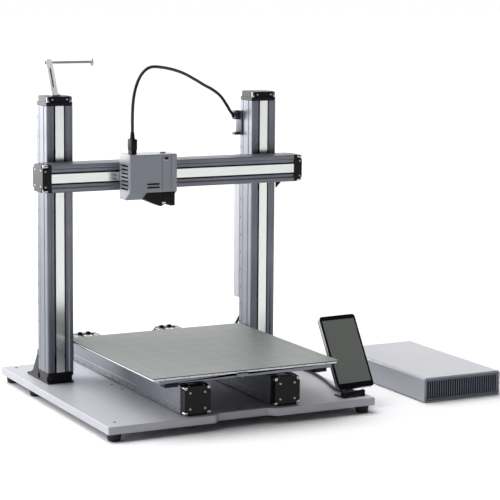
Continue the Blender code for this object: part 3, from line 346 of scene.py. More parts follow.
def brushed(along):
    """A polished steel strip: long scratches that spread its highlights along it."""
    stretch = tuple(120 if axis == along else 1 for axis in "XYZ")
    finish = Finish("steel_strip", seen(208, 209, 208), 0.14, 1.0)
    scratches = finish.noise(0.25 * MM, stretch, 4, 0.75)
    cloud = finish.noise(35 * MM, detail=2)
    tone = finish.blend(scratches * 0.6 + cloud * 0.2, seen(234, 236, 232), seen(206, 208, 206))
    finish.put("Base Color", tone)
    finish.put("Roughness", 0.1 + scratches * 0.14)
    finish.relief(scratches, 0.02 * MM, 0.3)
    return finish


paint = painted("painted_plate", seen(176, 177, 184), seen(168, 169, 177))
LIGHT_ALUMINIUM, DARK_ALUMINIUM = seen(134, 136, 145), seen(108, 110, 119)
strip_finish = {axis: brushed(axis) for axis in "XYZ"}
profile_finish = {axis: anodised("anodised", LIGHT_ALUMINIUM, DARK_ALUMINIUM, axis) for axis in "XYZ"}
holder_metal = anodised("white_metal", seen(252, 252, 253), seen(244, 245, 247), "Z", 0.3, 0.0)
rod_metal = anodised("white_metal", seen(168, 169, 173), seen(150, 151, 156), "X", 0.3, 0.4)
clip_metal = anodised("black_metal", seen(84, 86, 94), seen(70, 72, 80), "Z", 0.36)
black_metal = anodised("black_metal", seen(27, 28, 33), seen(20, 21, 26), "X", 0.42)
print("finishes so far:", len(bpy.data.materials))


# %% Moulded plastic and rubber
def moulded(slot, colour, roughness, grain_size=0.35 * MM, depth=0.03 * MM):
    """Texture that the mould leaves, with a little unevenness in gloss and tone."""
    finish = Finish(slot, colour, roughness)
    grain = finish.noise(grain_size, detail=2)
    cloud = finish.noise(30 * MM, detail=2)
    lighter = [min(1.0, part * 1.12) for part in colour[:3]]
    finish.put("Base Color", finish.blend(cloud, colour, (*lighter, 1)))
    finish.put("Roughness", roughness - 0.06 + grain * 0.12)
    finish.relief(grain, depth, 0.5)
    return finish


cap_plastic = moulded("black_cap", seen(8, 9, 13), 0.26, depth=0.012 * MM)
cap_plastic.put("Specular IOR Level", 0.18)
head_plastic = moulded("head_plastic", seen(126, 130, 141), 0.4)
head_plastic.put("Coat Weight", 1.0)
head_plastic.put("Coat Roughness", 0.22)
black_plastic = moulded("black_plastic", seen(9, 9, 13), 0.46)
black_plastic.put("Specular IOR Level", 0.2)
foot_rubber = moulded("black_rubber", seen(17, 17, 20), 0.75, 0.6 * MM, 0.06 * MM)
cable_jacket = moulded("cable", seen(20, 20, 23), 0.36, 0.5 * MM, 0.02 * MM)


# %% Machined steel, copper and the power unit's sleeve
def machined(slot, colour, roughness):
    """Bright metal with the fine marks of a cutting tool."""
    finish = Finish(slot, colour, roughness, 1.0)
    marks = finish.noise(0.3 * MM, (1, 1, 6), 3)
    darker = (*[part * 0.8 for part in colour[:3]], 1)
    finish.put("Base Color", finish.blend(marks, colour, darker))
    finish.put("Roughness", roughness - 0.05 + marks * 0.12)
    return finish


bright_steel = machined("steel", seen(205, 206, 209), 0.24)
copper = machined("copper", seen(196, 124, 88), 0.28)


def sleeve_metal():
    """Bead-blasted aluminium, which is matt and very even."""
    finish = Finish("power_sleeve", seen(144, 145, 154), 0.5, Coat_Weight=1.0, Coat_Roughness=0.25)
    blast = finish.noise(0.4 * MM, detail=2)
    cloud = finish.noise(80 * MM, detail=2)
    finish.put("Base Color", finish.blend(cloud, seen(148, 149, 158), seen(138, 139, 148)))
    finish.put("Roughness", 0.4 + blast * 0.12)
    finish.relief(blast, 0.03 * MM, 0.5)
    return finish


sleeve = sleeve_metal()
grille_metal = anodised("power_sleeve", seen(104, 106, 118), seen(88, 90, 102), "Z", 0.38)


# %% [markdown]
# The print sheet is spring steel with a rough coating. Its top is a grey with a green cast, a
# grid of thin lines helps to place a print on it, and its cut edge is black. One mask on the
# height picks the edge, and two masks on x and y draw the grid.

# %% Print sheet finish
GRID = 50 * MM
GRID_LINE = 1.1 * MM


def sheet_finish():
    """The print sheet's rough coating with its grid, and its black edge."""
    low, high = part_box("print_sheet")
    finish = Finish("print_sheet", seen(158, 162, 158), 0.5)
    speck = finish.noise(0.7 * MM, detail=3, rough=0.7)
    cloud = finish.noise(90 * MM, detail=2)
    tone = finish.blend(cloud * 0.6 + speck * 0.4, seen(124, 127, 125), seen(108, 111, 110))
    finish.put("Coat Weight", 0.25)
    finish.put("Coat Roughness", 0.35)
    lines = None
    for axis, centre in (("X", (low.x + high.x) / 2), ("Y", (low.y + high.y) / 2)):
        across = finish.place(axis) - centre
        near = across.maths("PINGPONG", across, GRID / 2) < GRID_LINE / 2
        lines = near if lines is None else lines.maths("MAXIMUM", lines, near)
    tone = finish.blend(lines * 0.6, tone, seen(152, 156, 153))
    top = finish.place("Z") > high.z - 0.35 * MM
    finish.put("Base Color", finish.blend(top, seen(18, 18, 19), tone))
    finish.put("Roughness", 0.4 + speck * 0.25)
    finish.relief(speck, 0.08 * MM, 0.6)
    return finish


sheet_coating = sheet_finish()


# %% Touchscreen glass and display
def glass(colour, roughness):
    """Dark glass with a faint smear in its gloss."""
    finish = Finish("screen_glass", colour, roughness, 0.0, Coat_Weight=0.6, Coat_Roughness=0.04)
    smear = finish.noise(25 * MM, (1, 1, 3), 3)
    finish.put("Roughness", roughness + smear * 0.06)
    return finish


def display_finish():
    """A lit panel that shows nothing: an even grey that glows a little."""
    finish = glass(seen(88, 90, 88), 0.16)
    cells = finish.noise(0.3 * MM, detail=1)
    finish.put("Base Color", finish.blend(cells, seen(92, 94, 92), seen(84, 86, 84)))
    finish.put("Emission Color", seen(98, 101, 98))
    finish.put("Emission Strength", 0.35)
    return finish


black_glass = glass(seen(16, 17, 18), 0.1)
display_panel = display_finish()
screen_frame_metal = anodised("power_sleeve", seen(190, 191, 196), seen(176, 177, 183), "Z", 0.3)
print("finishes in all:", len(bpy.data.materials))


# %% [markdown]
# ## Helpers for making pieces
#
# A piece starts as a bmesh. `block`, `drum` and `lathe` give the usual first shapes with their
# edges already broken, because no real edge is perfectly sharp and a rounded one is what catches
# the light. `show` turns a bmesh into a piece that rides on a body of the machine.

# %% First shapes
def in_mm(*pairs):
    """Points of a profile that are given in millimetres."""
    return tuple((first * MM, second * MM) for first, second in pairs)


def break_edges(bm, width, segments, edges=None):
    """Round edges, all of them if none are named."""
    bmesh.ops.bevel(bm, geom=edges or bm.edges[:], offset=width, affect="EDGES", segments=segments,
                    profile=0.5, material=-1, clamp_overlap=True)
    return bm


def corners_of(bm, angle):
    """The edges where two faces meet at more than an angle in degrees."""
    limit = math.radians(angle)
    return [edge for edge in bm.edges if len(edge.link_faces) == 2 and edge.calc_face_angle() > limit]


def block(low, high, edge=0.3 * MM, segments=2):
    """A box between two corners."""
    low, high = Vector(low), Vector(high)
    bm = bmesh.new()
    bmesh.ops.create_cube(bm, size=1)
    bmesh.ops.scale(bm, vec=high - low, verts=bm.verts[:])
    bmesh.ops.translate(bm, vec=(low + high) / 2, verts=bm.verts[:])
    return break_edges(bm, edge, segments) if edge else bm


def drum(radius, bottom, top, steps, edge):
    """A round bar along z."""
    bm = bmesh.new()
    bmesh.ops.create_cone(bm, cap_ends=True, segments=steps, radius1=radius, radius2=radius,
                          depth=top - bottom)
    bmesh.ops.translate(bm, vec=(0, 0, (top + bottom) / 2), verts=bm.verts[:])
    return break_edges(bm, edge, 2, corners_of(bm, 50)) if edge else bm


def lathe(profile, steps=48):
    """A profile of (radius, height) turned full circle round z."""
    bm = bmesh.new()
    ring = [bm.verts.new((radius, 0, height)) for radius, height in profile]
    edges = [bm.edges.new(pair) for pair in zip(ring, ring[1:])]
    bmesh.ops.spin(bm, geom=ring + edges, cent=(0, 0, 0), axis=(0, 0, 1), angle=math.tau,
                   steps=steps, use_merge=True)
    bmesh.ops.remove_doubles(bm, verts=bm.verts[:], dist=1e-6)
    bmesh.ops.recalc_face_normals(bm, faces=bm.faces[:])
    return bm


def slab(outline, bottom, top, edge, segments=2):
    """An outline in x and y, raised along z."""
    bm = bmesh.new()
    ring = [bm.verts.new((x, y, bottom)) for x, y in outline]
    bmesh.ops.contextual_create(bm, geom=ring)
    raised = bmesh.ops.extrude_face_region(bm, geom=bm.faces[:])
    rising = [item for item in raised["geom"] if isinstance(item, bmesh.types.BMVert)]
    bmesh.ops.translate(bm, vec=(0, 0, top - bottom), verts=rising)
    bmesh.ops.recalc_face_normals(bm, faces=bm.faces[:])
    return break_edges(bm, edge, segments, corners_of(bm, 50)) if edge else bm


def rounded(left, bottom, right, top, radius, steps=6):
    """Points of a rectangle with round corners."""
    points = []
    centres = ((right - radius, bottom + radius), (right - radius, top - radius),
               (left + radius, top - radius), (left + radius, bottom + radius))
    for quarter, (x, y) in enumerate(centres):
        for step in range(steps + 1):
            angle = math.pi / 2 * (quarter - 1 + step / steps)
            points.append((x + radius * math.cos(angle), y + radius * math.sin(angle)))
    return points


# %% Putting shapes together and showing them
SHARP_FROM = math.radians(35)


def moved(bm, matrix):
    """A bmesh, carried along by a matrix. If that mirrors it, its faces are turned outwards again."""
    bmesh.ops.transform(bm, matrix=matrix, verts=bm.verts[:])
    if matrix.determinant() < 0:
        bmesh.ops.recalc_face_normals(bm, faces=bm.faces[:])
    return bm


def gathered(*shapes):
    """Several shapes as one bmesh. A pair (shape, matrices) stands for copies of that shape."""
    whole = bmesh.new()
    for item in shapes:
        shape, matrices = item if isinstance(item, tuple) else (item, [Matrix()])
        stamp = bpy.data.meshes.new("stamp")
        shape.to_mesh(stamp)
        shape.free()
        for matrix in matrices:
            before = len(whole.verts)
            whole.from_mesh(stamp)
            whole.verts.ensure_lookup_table()
            bmesh.ops.transform(whole, matrix=matrix, verts=whole.verts[before:])
        bpy.data.meshes.remove(stamp)
    return whole


def show(name, bm, body, finish):
    """Make a bmesh a piece of the object, which rides on a body."""
    mesh = bpy.data.meshes.new(name)
    bm.to_mesh(mesh)
    bm.free()
    mesh.shade_smooth()
    mesh.set_sharp_from_angle(angle=SHARP_FROM)
    mesh.materials.append(finish.material)
    piece = linked(name, mesh)
    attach(piece, body)
    return piece


def carved(bm, *cutters):
    """A bmesh with other shapes cut out of it, by an exact boolean."""
    solids = []
    for index, shape in enumerate((bm, *cutters)):
        mesh = bpy.data.meshes.new(f"carving_{index}")
        shape.to_mesh(mesh)
        shape.free()
        solids.append(linked(mesh.name, mesh))
    for cutter in solids[1:]:
        step = solids[0].modifiers.new("cut", "BOOLEAN")
        step.operation = "DIFFERENCE"
        step.object = cutter
    bpy.context.view_layer.update()
    made = bpy.data.meshes.new_from_object(solids[0].evaluated_get(bpy.context.evaluated_depsgraph_get()))
    result = bmesh.new()
    result.from_mesh(made)
    for solid in solids:
        bpy.data.objects.remove(solid)
    return result


def body_of(node):
    """The machine's body that a solid belongs to."""
    return next(body for body, nodes in frame["record"]["behaviour"]["bodies"].items() if node in nodes)


def softened(node, finish, edge, segments=2, limit=28):
    """A solid of the frame with its edges rounded, standing for that solid."""
    bm = bmesh.new()
    bm.from_mesh(frame["nodes"][node].data)
    bmesh.ops.remove_doubles(bm, verts=bm.verts[:], dist=2e-6)
    bmesh.ops.dissolve_limit(bm, angle_limit=math.radians(1), verts=bm.verts[:], edges=bm.edges[:])
    break_edges(bm, edge, segments, corners_of(bm, limit))
    piece = show(f"{node}_body", bm, body_of(node), finish)
    even = piece.modifiers.new("even shading", "WEIGHTED_NORMAL")
    even.keep_sharp = True
    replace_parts(piece, node)
    return piece


def keep(node, finish):
    """A solid whose shape is right: only its finish changes."""
    target = frame["nodes"][node]
    target.data.materials.clear()
    target.data.materials.append(finish.material)


# %% [markdown]
# ## Screws
#
# Nearly everything here is held by socket-head cap screws. One function makes the head, with
# its round top edge and the hexagonal socket pressed down into it, and every screw on the
# machine is a copy of one of a few sizes. Copies share one stamp, so a long row of them is cheap.

# %% A socket-head screw
def socket_screw(radius, head, steps=28):
    """A screw's head on z = 0, with a hexagonal socket in its top."""
    bm = bmesh.new()
    bmesh.ops.create_cone(bm, cap_ends=True, segments=steps, radius1=radius, radius2=radius, depth=head)
    bmesh.ops.translate(bm, vec=(0, 0, head / 2), verts=bm.verts[:])
    rim = [edge for edge in corners_of(bm, 60) if all(vert.co.z > head * 0.9 for vert in edge.verts)]
    break_edges(bm, radius * 0.14, 2, rim)
    hexagon = bmesh.new()
    bmesh.ops.create_cone(hexagon, cap_ends=True, segments=6, radius1=radius * 0.55, radius2=radius * 0.55,
                          depth=radius * 1.4)
    bmesh.ops.translate(hexagon, vec=(0, 0, head), verts=hexagon.verts[:])
    return carved(bm, hexagon)


def facing(direction, place):
    """A matrix that stands z along a direction at a place."""
    return Matrix.Translation(place) @ Vector(direction).to_track_quat("Z", "Y").to_matrix().to_4x4()


small_screw = socket_screw(1.9 * MM, 1.3 * MM)
print("faces on one screw:", len(small_screw.faces))
small_screw.free()

# %% [markdown]
# ## The linear modules
#
# The five modules are the same product in three positions. Each one has a frame of its own: x
# across its face, y into its depth and z along it. All details are placed in that frame, and the
# module's matrix carries them to where the module stands. The channel's long edges are rounded,
# the caps get screws in their four stepped corners, and a row of small set screws runs along
# both sides near the back.

# %% Frames of the modules
MODULES = {
    "x": ("X", ("left_cap", "right_cap")),
    "y_left": ("Y", ("front_cap", "back_cap")),
    "y_right": ("Y", ("front_cap", "back_cap")),
    "z_left": ("Z", ("foot_cap", "top_cap")),
    "z_right": ("Z", ("foot_cap", "top_cap")),
}
UPRIGHT = {
    "X": Matrix.Rotation(math.pi / 2, 4, "Y"),
    "Y": Matrix.Rotation(-math.pi / 2, 4, "X"),
    "Z": Matrix(),
}


def module_frame(name):
    """The module's matrix, its half width, depth and length, from the box of its channel."""
    axis = MODULES[name][0]
    low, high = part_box(f"{name}_rail")
    middle = (low + high) / 2
    starts = {"X": (low.x, low.y, middle.z), "Y": (middle.x, low.y, high.z), "Z": (middle.x, low.y, low.z)}
    width = (high.z - low.z) / 2 if axis == "X" else (high.x - low.x) / 2
    depth = high.z - low.z if axis == "Y" else high.y - low.y
    return Matrix.Translation(starts[axis]) @ UPRIGHT[axis], width, depth, (high - low)["XYZ".index(axis)]


for name in MODULES:
    place, width, depth, length = module_frame(name)
    print(name, "is", round(width * 2 / MM, 1), "x", round(depth / MM, 1), "x", round(length / MM, 1), "mm")

# %% Channels, strips, screws and carriages
SET_SCREW_PITCH = 32.8 * MM
SET_SCREW_START = 22 * MM
SET_SCREW_IN = 5 * MM


def set_screws(name):
    """A row of small dark set screws near the back of both sides, each a dish with a low rim."""
    place, half, depth, length = module_frame(name)
    rim = lathe(in_mm((0, 0.02), (0.9, 0.02), (1.1, 0.15), (1.6, 0.15), (1.75, -0.1), (0, -0.1)), 14)
    matrices = []
    count = int((length - SET_SCREW_START) / SET_SCREW_PITCH) + 1
    for side in (-1, 1):
        for index in range(count):
            spot = Vector((side * half, depth - SET_SCREW_IN, SET_SCREW_START + index * SET_SCREW_PITCH))
            matrices.append(place @ facing((side, 0, 0), spot))
    show(f"{name}_side_screws", gathered((rim, matrices)), body_of(f"{name}_rail"), black_metal)
    return len(matrices)


for name, (axis, caps) in MODULES.items():
    softened(f"{name}_rail", profile_finish[axis], 0.25 * MM)
    keep(f"{name}_strip", strip_finish[axis])
    keep(f"{name}_lead_screw", bright_steel)
    softened(f"{name}_carriage", black_metal, 0.4 * MM)
    print(name, "has", set_screws(name), "side screws")

# %% Caps with their screws
CORNER_SCREW_IN = 3.4 * MM
CORNER_SCREW_LENGTH = 9.2 * MM
CAP_BOSS = 10 * MM
INNER_SCREW_SPACING = 27 * MM
INNER_SCREW_SUNK = 0.87 * MM
CAP_LENGTH = 16.8 * MM


def cap_face(name, far):
    """A frame on the outside of a module's cap, z outwards, with its origin at the middle of the face."""
    place, half, depth, length = module_frame(name)
    along = length + CAP_LENGTH if far else -CAP_LENGTH
    turn = Matrix() if far else Matrix.Rotation(math.pi, 4, "Y")
    return place @ Matrix.Translation((0, depth / 2, along)) @ turn, half, depth / 2


def cap_screws(name, far, inner):
    """A cap's screws: long ones in its corners, small ones on its face if it has any, two in front."""
    face, half_x, half_y = cap_face(name, far)
    across, down = half_x - CORNER_SCREW_IN, half_y - CORNER_SCREW_IN
    long_screw = socket_screw(2.9 * MM, CORNER_SCREW_LENGTH)
    corners = [face @ Matrix.Translation((x, y, -CAP_BOSS))
               for x in (-across, across) for y in (-down, down)]
    shapes = [(long_screw, corners)]
    if inner:
        reach = INNER_SCREW_SPACING / 2
        spots = [face @ Matrix.Translation((x, y, -INNER_SCREW_SUNK))
                 for x in (-reach, reach) for y in (-reach, reach)]
        shapes.append((socket_screw(1.9 * MM, 0.9 * MM), spots))
    front = [face @ Matrix.Translation((side * INNER_SCREW_SPACING / 2, -half_y + 0.55 * MM, -5 * MM))
             @ Matrix.Rotation(math.pi / 2, 4, "X") for side in (-1, 1)]
    shapes.append((socket_screw(1.7 * MM, 0.8 * MM), front))
    return gathered(*shapes)


for name, (axis, caps) in MODULES.items():
    for far, cap in enumerate(caps):
        node = f"{name}_{cap}"
        softened(node, cap_plastic, 0.5 * MM)
        if cap != "foot_cap":
            show(f"{node}_screws", cap_screws(name, bool(far), axis != "Z"), body_of(node), bright_steel)
print("caps:", 2 * len(MODULES))

# %% Bumpers on the back caps of the bed's modules
for side in ("left", "right"):
    low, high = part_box(f"y_{side}_back_cap")
    centre = (low.x + high.x) / 2
    bumpers = []
    for step in (-1, 1):
        x, y = centre + step * 8 * MM, high.y - 9 * MM
        bumpers.append(block((x - 3.6 * MM, y - 3.5 * MM, high.z - 0.5 * MM),
                             (x + 3.6 * MM, y + 3.5 * MM, high.z + 2.6 * MM), 1 * MM, 3))
    show(f"y_{side}_bumpers", gathered(*bumpers), "base", foot_rubber)

# %% [markdown]
# ## Base plate and feet
#
# The plate is thick and painted. Its edges are broken and a notch in the front lets fingers under
# it. Screws show in the deck between the two rails and near its edges. The feet are turned from
# rubber.

# %% Base plate
softened("base_plate", paint, 0.9 * MM, 3)
DECK_SCREWS = ((-121.5, 31.7), (-119.2, -9.6), (121.5, 31.7), (119.2, -9.6), (-30, 215), (30, 215),
               (-225, -225), (-225, 235), (225, 235), (0, -225))
DECK_SCREW_SUNK = 0.4
deck_spots = [facing((0, 0, 1), on_deck(x, y, -DECK_SCREW_SUNK)) for x, y in DECK_SCREWS]
show("deck_screws", gathered((socket_screw(2.6 * MM, 0.8 * MM), deck_spots)), "base", black_metal)
print("screws in the deck:", len(DECK_SCREWS))

# %% Feet
for foot in [node for node in frame["nodes"] if node.startswith("foot_")]:
    low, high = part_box(foot)
    radius, tall = (high.x - low.x) / 2, high.z - low.z
    profile = ((0, 0), (radius * 0.7, 0), (radius * 0.8, 0.8 * MM), (radius * 0.86, 3 * MM),
               (radius * 0.93, tall * 0.7), (radius * 0.96, tall - 1 * MM), (radius * 0.9, tall),
               (0, tall))
    centre = (low + high) / 2
    pad = moved(lathe(profile), Matrix.Translation((centre.x, centre.y, low.z)))
    piece = show(f"{foot}_pad", pad, "base", foot_rubber)
    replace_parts(piece, foot)
    print(foot, "is", round(tall / MM, 1), "mm tall")

# %% [markdown]
# ## The bed
#
# The bed is a stack: a frame on the two carriages, a bright heater plate and the coated print
# sheet. From the front only its edges show, so the order of black, silver and dark lines there
# matters more than the top. Small screws clamp the heater along its edge, and a tab in the
# middle of the front has a thumb screw.

# %% Bed frame, heater plate and sheet
softened("bed_frame", profile_finish["X"], 0.5 * MM)
softened("heater_plate", holder_metal, 0.5 * MM)
keep("print_sheet", sheet_coating)

frame_low, frame_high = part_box("bed_frame")
heater_low, heater_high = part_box("heater_plate")
sheet_low, sheet_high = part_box("print_sheet")


HEATER_SCREWS = 8


def heater_screws():
    """Screws in the front and back edge of the heater plate."""
    spots = []
    for index in range(HEATER_SCREWS):
        x = heater_low.x + (heater_high.x - heater_low.x) * (index + 0.5) / HEATER_SCREWS
        z = (heater_low.z + heater_high.z) / 2
        spots.append(facing((0, -1, 0), (x, heater_low.y + 0.2 * MM, z)))
        spots.append(facing((0, 1, 0), (x, heater_high.y - 0.2 * MM, z)))
    return gathered((socket_screw(1.1 * MM, 0.8 * MM, 16), spots))


show("heater_edge_screws", heater_screws(), "bed", bright_steel)

# %% Ribs of the bed and the front tab
RIB_SHARES = (0.12, 0.31, 0.5, 0.69, 0.88)
CORNER_PLATE_OUT = 138 * MM


def bed_ribs_painted_shade():
    """Ribs under the bed frame, and a plate near each of its corners, black: partly their own dark metal and
    partly painted shade under the bed.
    """
    ribs = []
    for share in RIB_SHARES:
        y = frame_low.y + (frame_high.y - frame_low.y) * share
        ribs.append(block((frame_low.x + 9 * MM, y - 4 * MM, frame_high.z - 10.4 * MM),
                          (frame_high.x - 9 * MM, y + 4 * MM, frame_high.z - 6.4 * MM)))
    for side in (-1, 1):
        centre = (frame_low.x + frame_high.x) / 2 + side * CORNER_PLATE_OUT
        for y in (frame_low.y + 16 * MM, frame_high.y - 16 * MM):
            ribs.append(block((centre - 12 * MM, y - 14 * MM, frame_high.z - 12.5 * MM),
                              (centre + 12 * MM, y + 14 * MM, frame_high.z - 6.4 * MM), 0.6 * MM))
    return gathered(*ribs)


# The black ribs also stand in for the shade under the bed: painted shade.
show("bed_ribs_painted_shade", bed_ribs_painted_shade(), "bed", black_metal)
tab_x = (sheet_low.x + sheet_high.x) / 2 - 10 * MM
tab = block((tab_x - 9 * MM, sheet_low.y + 0.6 * MM, heater_low.z - 7.5 * MM),
            (tab_x + 9 * MM, sheet_low.y + 3 * MM, heater_low.z + 0.5 * MM), 0.5 * MM)
show("bed_tab_cover", tab, "bed", black_plastic)
thumb = lathe(in_mm((0, 0), (3.2, 0), (3.4, 0.3), (3.4, 0.9), (3, 1.2), (0, 1.2)), 32)
thumb_spot = Vector((tab_x, sheet_low.y + 1.4 * MM, heater_low.z - 3.5 * MM))
show("bed_tab_screw", moved(thumb, facing((0, -1, 0), thumb_spot)), "bed", bright_steel)
print("bed top is", round((sheet_high.z - DECK.z) / MM, 1), "mm over the deck")

# %% [markdown]
# ## The head
#
# The head's cover is a moulded hood. Its shell is thin and closed on five sides, with the slant
# at the bottom of its front cut open for the duct. It starts as one prism with its outer edges
# rounded. The hollow, the vents, two slots in the front, the seams of the front panel and the
# recess of its latch are then cut out of it, one after another.

# %% Measures of the head
cover_low, cover_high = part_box("head_cover")
duct_low, duct_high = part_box("part_cooling_duct")
nozzle_low, nozzle_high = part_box("hot_end_nozzle")
head_middle = (cover_low + cover_high) / 2
WALL = 2.2 * MM
SLOT_PITCH, SLOT_HALF = 5.7 * MM, 1.6 * MM
SLOT_IN, SLOT_UP, SLOT_WIDTH = 32.6 * MM, 28.9 * MM, 23.6 * MM
SLOT_CLEARANCE = 0.2 * MM
VENTS, VENT_PITCH, VENT_HALF, VENT_LENGTH = 7, 6.7 * MM, 1.5 * MM, 29 * MM
SEAMS_IN = (60.8 * MM, 77.6 * MM)
SEAM_HALF = 0.35 * MM
SLANT_BACK, SLANT_UP = 20 * MM, 14.5 * MM
nozzle_axis = Vector(((nozzle_low.x + nozzle_high.x) / 2, (nozzle_low.y + nozzle_high.y) / 2, 0))
print("head is", [round(side / MM, 1) for side in cover_high - cover_low], "mm")


# %% Cover
def side_view(inset):
    """The cover's outline seen from its side, as (y, z) points, drawn in by an inset."""
    front, bottom, top = cover_low.y + inset, cover_low.z + inset, cover_high.z - inset
    back = cover_high.y if inset == 0 else cover_high.y + 1 * MM
    shift = inset * 0.4
    return ((back, bottom), (cover_low.y + SLANT_BACK + shift, bottom),
            (front, cover_low.z + SLANT_UP + shift), (front, top), (back, top))


def along_x(outline, left, right, edge=0.0, segments=3):
    """An outline of (y, z) points swept from left to right."""
    turned = Matrix(((0, 0, 1, 0), (1, 0, 0, 0), (0, 1, 0, 0), (0, 0, 0, 1)))
    bm = moved(slab(outline, left, right, 0), turned)
    if edge:
        back = max(y for y, z in outline)
        outer = [item for item in corners_of(bm, 20)
                 if not all(abs(vert.co.y - back) < 1e-6 for vert in item.verts)]
        break_edges(bm, edge, segments, outer)
    return bm


def head_cuts():
    """Everything that is cut out of the cover after its hollow."""
    left, front = cover_low.x, cover_low.y
    cuts = [block((duct_low.x - 0.4 * MM, front - 1 * MM, cover_low.z - 1 * MM),
                  (duct_high.x + 0.4 * MM, duct_high.y + 0.6 * MM, cover_low.z + SLANT_UP), 0)]
    vent_y, vents = front + 8.5 * MM, []
    for index in range(VENTS):
        z = head_middle.z + (index - VENTS // 2) * VENT_PITCH
        outline = rounded(vent_y, z - VENT_HALF, vent_y + VENT_LENGTH, z + VENT_HALF, 1.2 * MM, 3)
        vents.append(along_x(outline, left - 1 * MM, left + WALL + 1 * MM))
        vents.append(along_x(outline, cover_high.x - WALL - 1 * MM, cover_high.x + 1 * MM))
    cuts.append(gathered(*vents))
    slot_left, slot_z = left + SLOT_IN, cover_low.z + SLOT_UP
    slots = [block((slot_left, front - 1 * MM, slot_z - drop - SLOT_HALF),
                   (slot_left + SLOT_WIDTH, front + WALL + 1 * MM, slot_z - drop + SLOT_HALF), 0)
             for drop in (0, SLOT_PITCH)]
    cuts.append(gathered(*slots))
    top = cover_high.z
    seam_low, panel_back = cover_low.z + SLANT_UP + 2 * MM, front + 26 * MM
    groove = ((front - 1 * MM, seam_low), (front + 0.9 * MM, seam_low), (front + 0.9 * MM, top - 0.7 * MM),
              (panel_back, top - 0.7 * MM), (panel_back, top + 1 * MM), (front - 1 * MM, top + 1 * MM))
    seams = [along_x(groove, left + x - SEAM_HALF, left + x + SEAM_HALF) for x in SEAMS_IN]
    cuts.append(gathered(*seams))
    return cuts


def latch_outline(inset):
    """The latch's round-ended outline as (x, z) points, drawn in by an inset."""
    left = cover_low.x + 62.4 * MM
    high = cover_high.z - 3.8 * MM
    return rounded(left + inset, high - 8.4 * MM + inset, left + 13.4 * MM - inset, high - inset,
                   4.1 * MM - inset, 8)


to_front = Matrix(((1, 0, 0, 0), (0, 0, 1, 0), (0, 1, 0, 0), (0, 0, 0, 1)))


def latch_part(inset, front, back, edge):
    """A pill of the latch, drawn in by an inset."""
    bm = moved(slab(latch_outline(inset), cover_low.y + front, cover_low.y + back, 0), to_front)
    return break_edges(bm, edge, 3, corners_of(bm, 50)) if edge else bm


recess = latch_part(0, -1 * MM, 1.6 * MM, 0)
hood = along_x(side_view(0), cover_low.x, cover_high.x, 2.2 * MM, 4)
hollow = along_x(side_view(WALL), cover_low.x + WALL, cover_high.x - WALL)
filament_hole = moved(drum(3 * MM, cover_high.z - 6 * MM, cover_high.z + 1 * MM, 32, 0),
                      Matrix.Translation(nozzle_axis))
plug_low, plug_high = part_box("head_plug")
plug_middle = (plug_low + plug_high) / 2
plug_hole = block((plug_middle.x - 4.6 * MM, plug_middle.y - 4.6 * MM, cover_high.z - 6 * MM),
                  (plug_middle.x + 4.6 * MM, plug_middle.y + 4.6 * MM, cover_high.z + 1 * MM), 0)
shell = carved(hood, hollow, *head_cuts(), recess, filament_hole, plug_hole)
cover = show("head_cover_shell", shell, "head", head_plastic)
cover.modifiers.new("even shading", "WEIGHTED_NORMAL").keep_sharp = True
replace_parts(cover, "head_cover")
print("cover has", len(cover.data.polygons), "faces")

# %% Latch and filament collar
ring = carved(latch_part(0.5 * MM, 0.1 * MM, 1.7 * MM, 0.4 * MM), latch_part(2.1 * MM, -1 * MM, 3 * MM, 0))
show("head_latch_ring", ring, "head", screen_frame_metal)
show("head_latch_button", latch_part(2.3 * MM, 0.8 * MM, 1.7 * MM, 0.3 * MM), "head", black_metal)
collar = lathe(in_mm((3, -0.4), (3, 0.9), (3.4, 1.3), (4.6, 1.3), (5, 0.9), (5, -0.4), (3, -0.4)), 40)
moved(collar, Matrix.Translation((nozzle_axis.x, nozzle_axis.y, cover_high.z)))
show("filament_collar", collar, "head", black_plastic)

# %% [markdown]
# Under the cover are the parts that do the work. The duct blows air round the nozzle and fills
# the opening in the slant. The hot end is one turned shape with fins above its heater block, and
# a gear and an idler wheel feed the filament down into it.

# %% Duct, hot end and the parts inside
softened("part_cooling_duct", black_plastic, 0.8 * MM, 3)
softened("head_frame", profile_finish["X"], 0.4 * MM)
softened("feed_gear", bright_steel, 0.15 * MM, 1)
keep("idler_wheel", bright_steel)
softened("cooling_fan", black_plastic, 0.3 * MM, 1)


FIN_PITCH, FIN_THICK = 2 * MM, 0.9 * MM
FIN_RADIUS, FIN_CORE = 7 * MM, 3.4 * MM


def hot_end():
    """Nozzle with its hexagon, heater block, heat break and fins, from the tip upwards."""
    tip, top = nozzle_low.z, nozzle_high.z
    point = in_mm((0, 0), (0.5, 0), (0.7, 0.2), (3.2, 3), (3.4, 3.4), (2.8, 3.6), (2.8, 8))
    heater_block = in_mm((5.7, 8), (6, 8.3), (6, 19.7), (5.7, 20), (2.2, 20))
    profile = [(radius, tip + height) for radius, height in (*point, *heater_block)]
    fin = tip + 23 * MM
    while fin + 1.6 * MM < top:
        profile += [(FIN_CORE, fin), (FIN_RADIUS, fin), (FIN_RADIUS, fin + FIN_THICK),
                    (FIN_CORE, fin + FIN_THICK)]
        fin += FIN_PITCH
    profile += [(FIN_CORE, top), (0, top)]
    hexagon = drum(4 * MM, tip + 3.4 * MM, tip + 6.6 * MM, 6, 0.25 * MM)
    return moved(gathered(lathe(profile, 48), hexagon), Matrix.Translation(nozzle_axis))


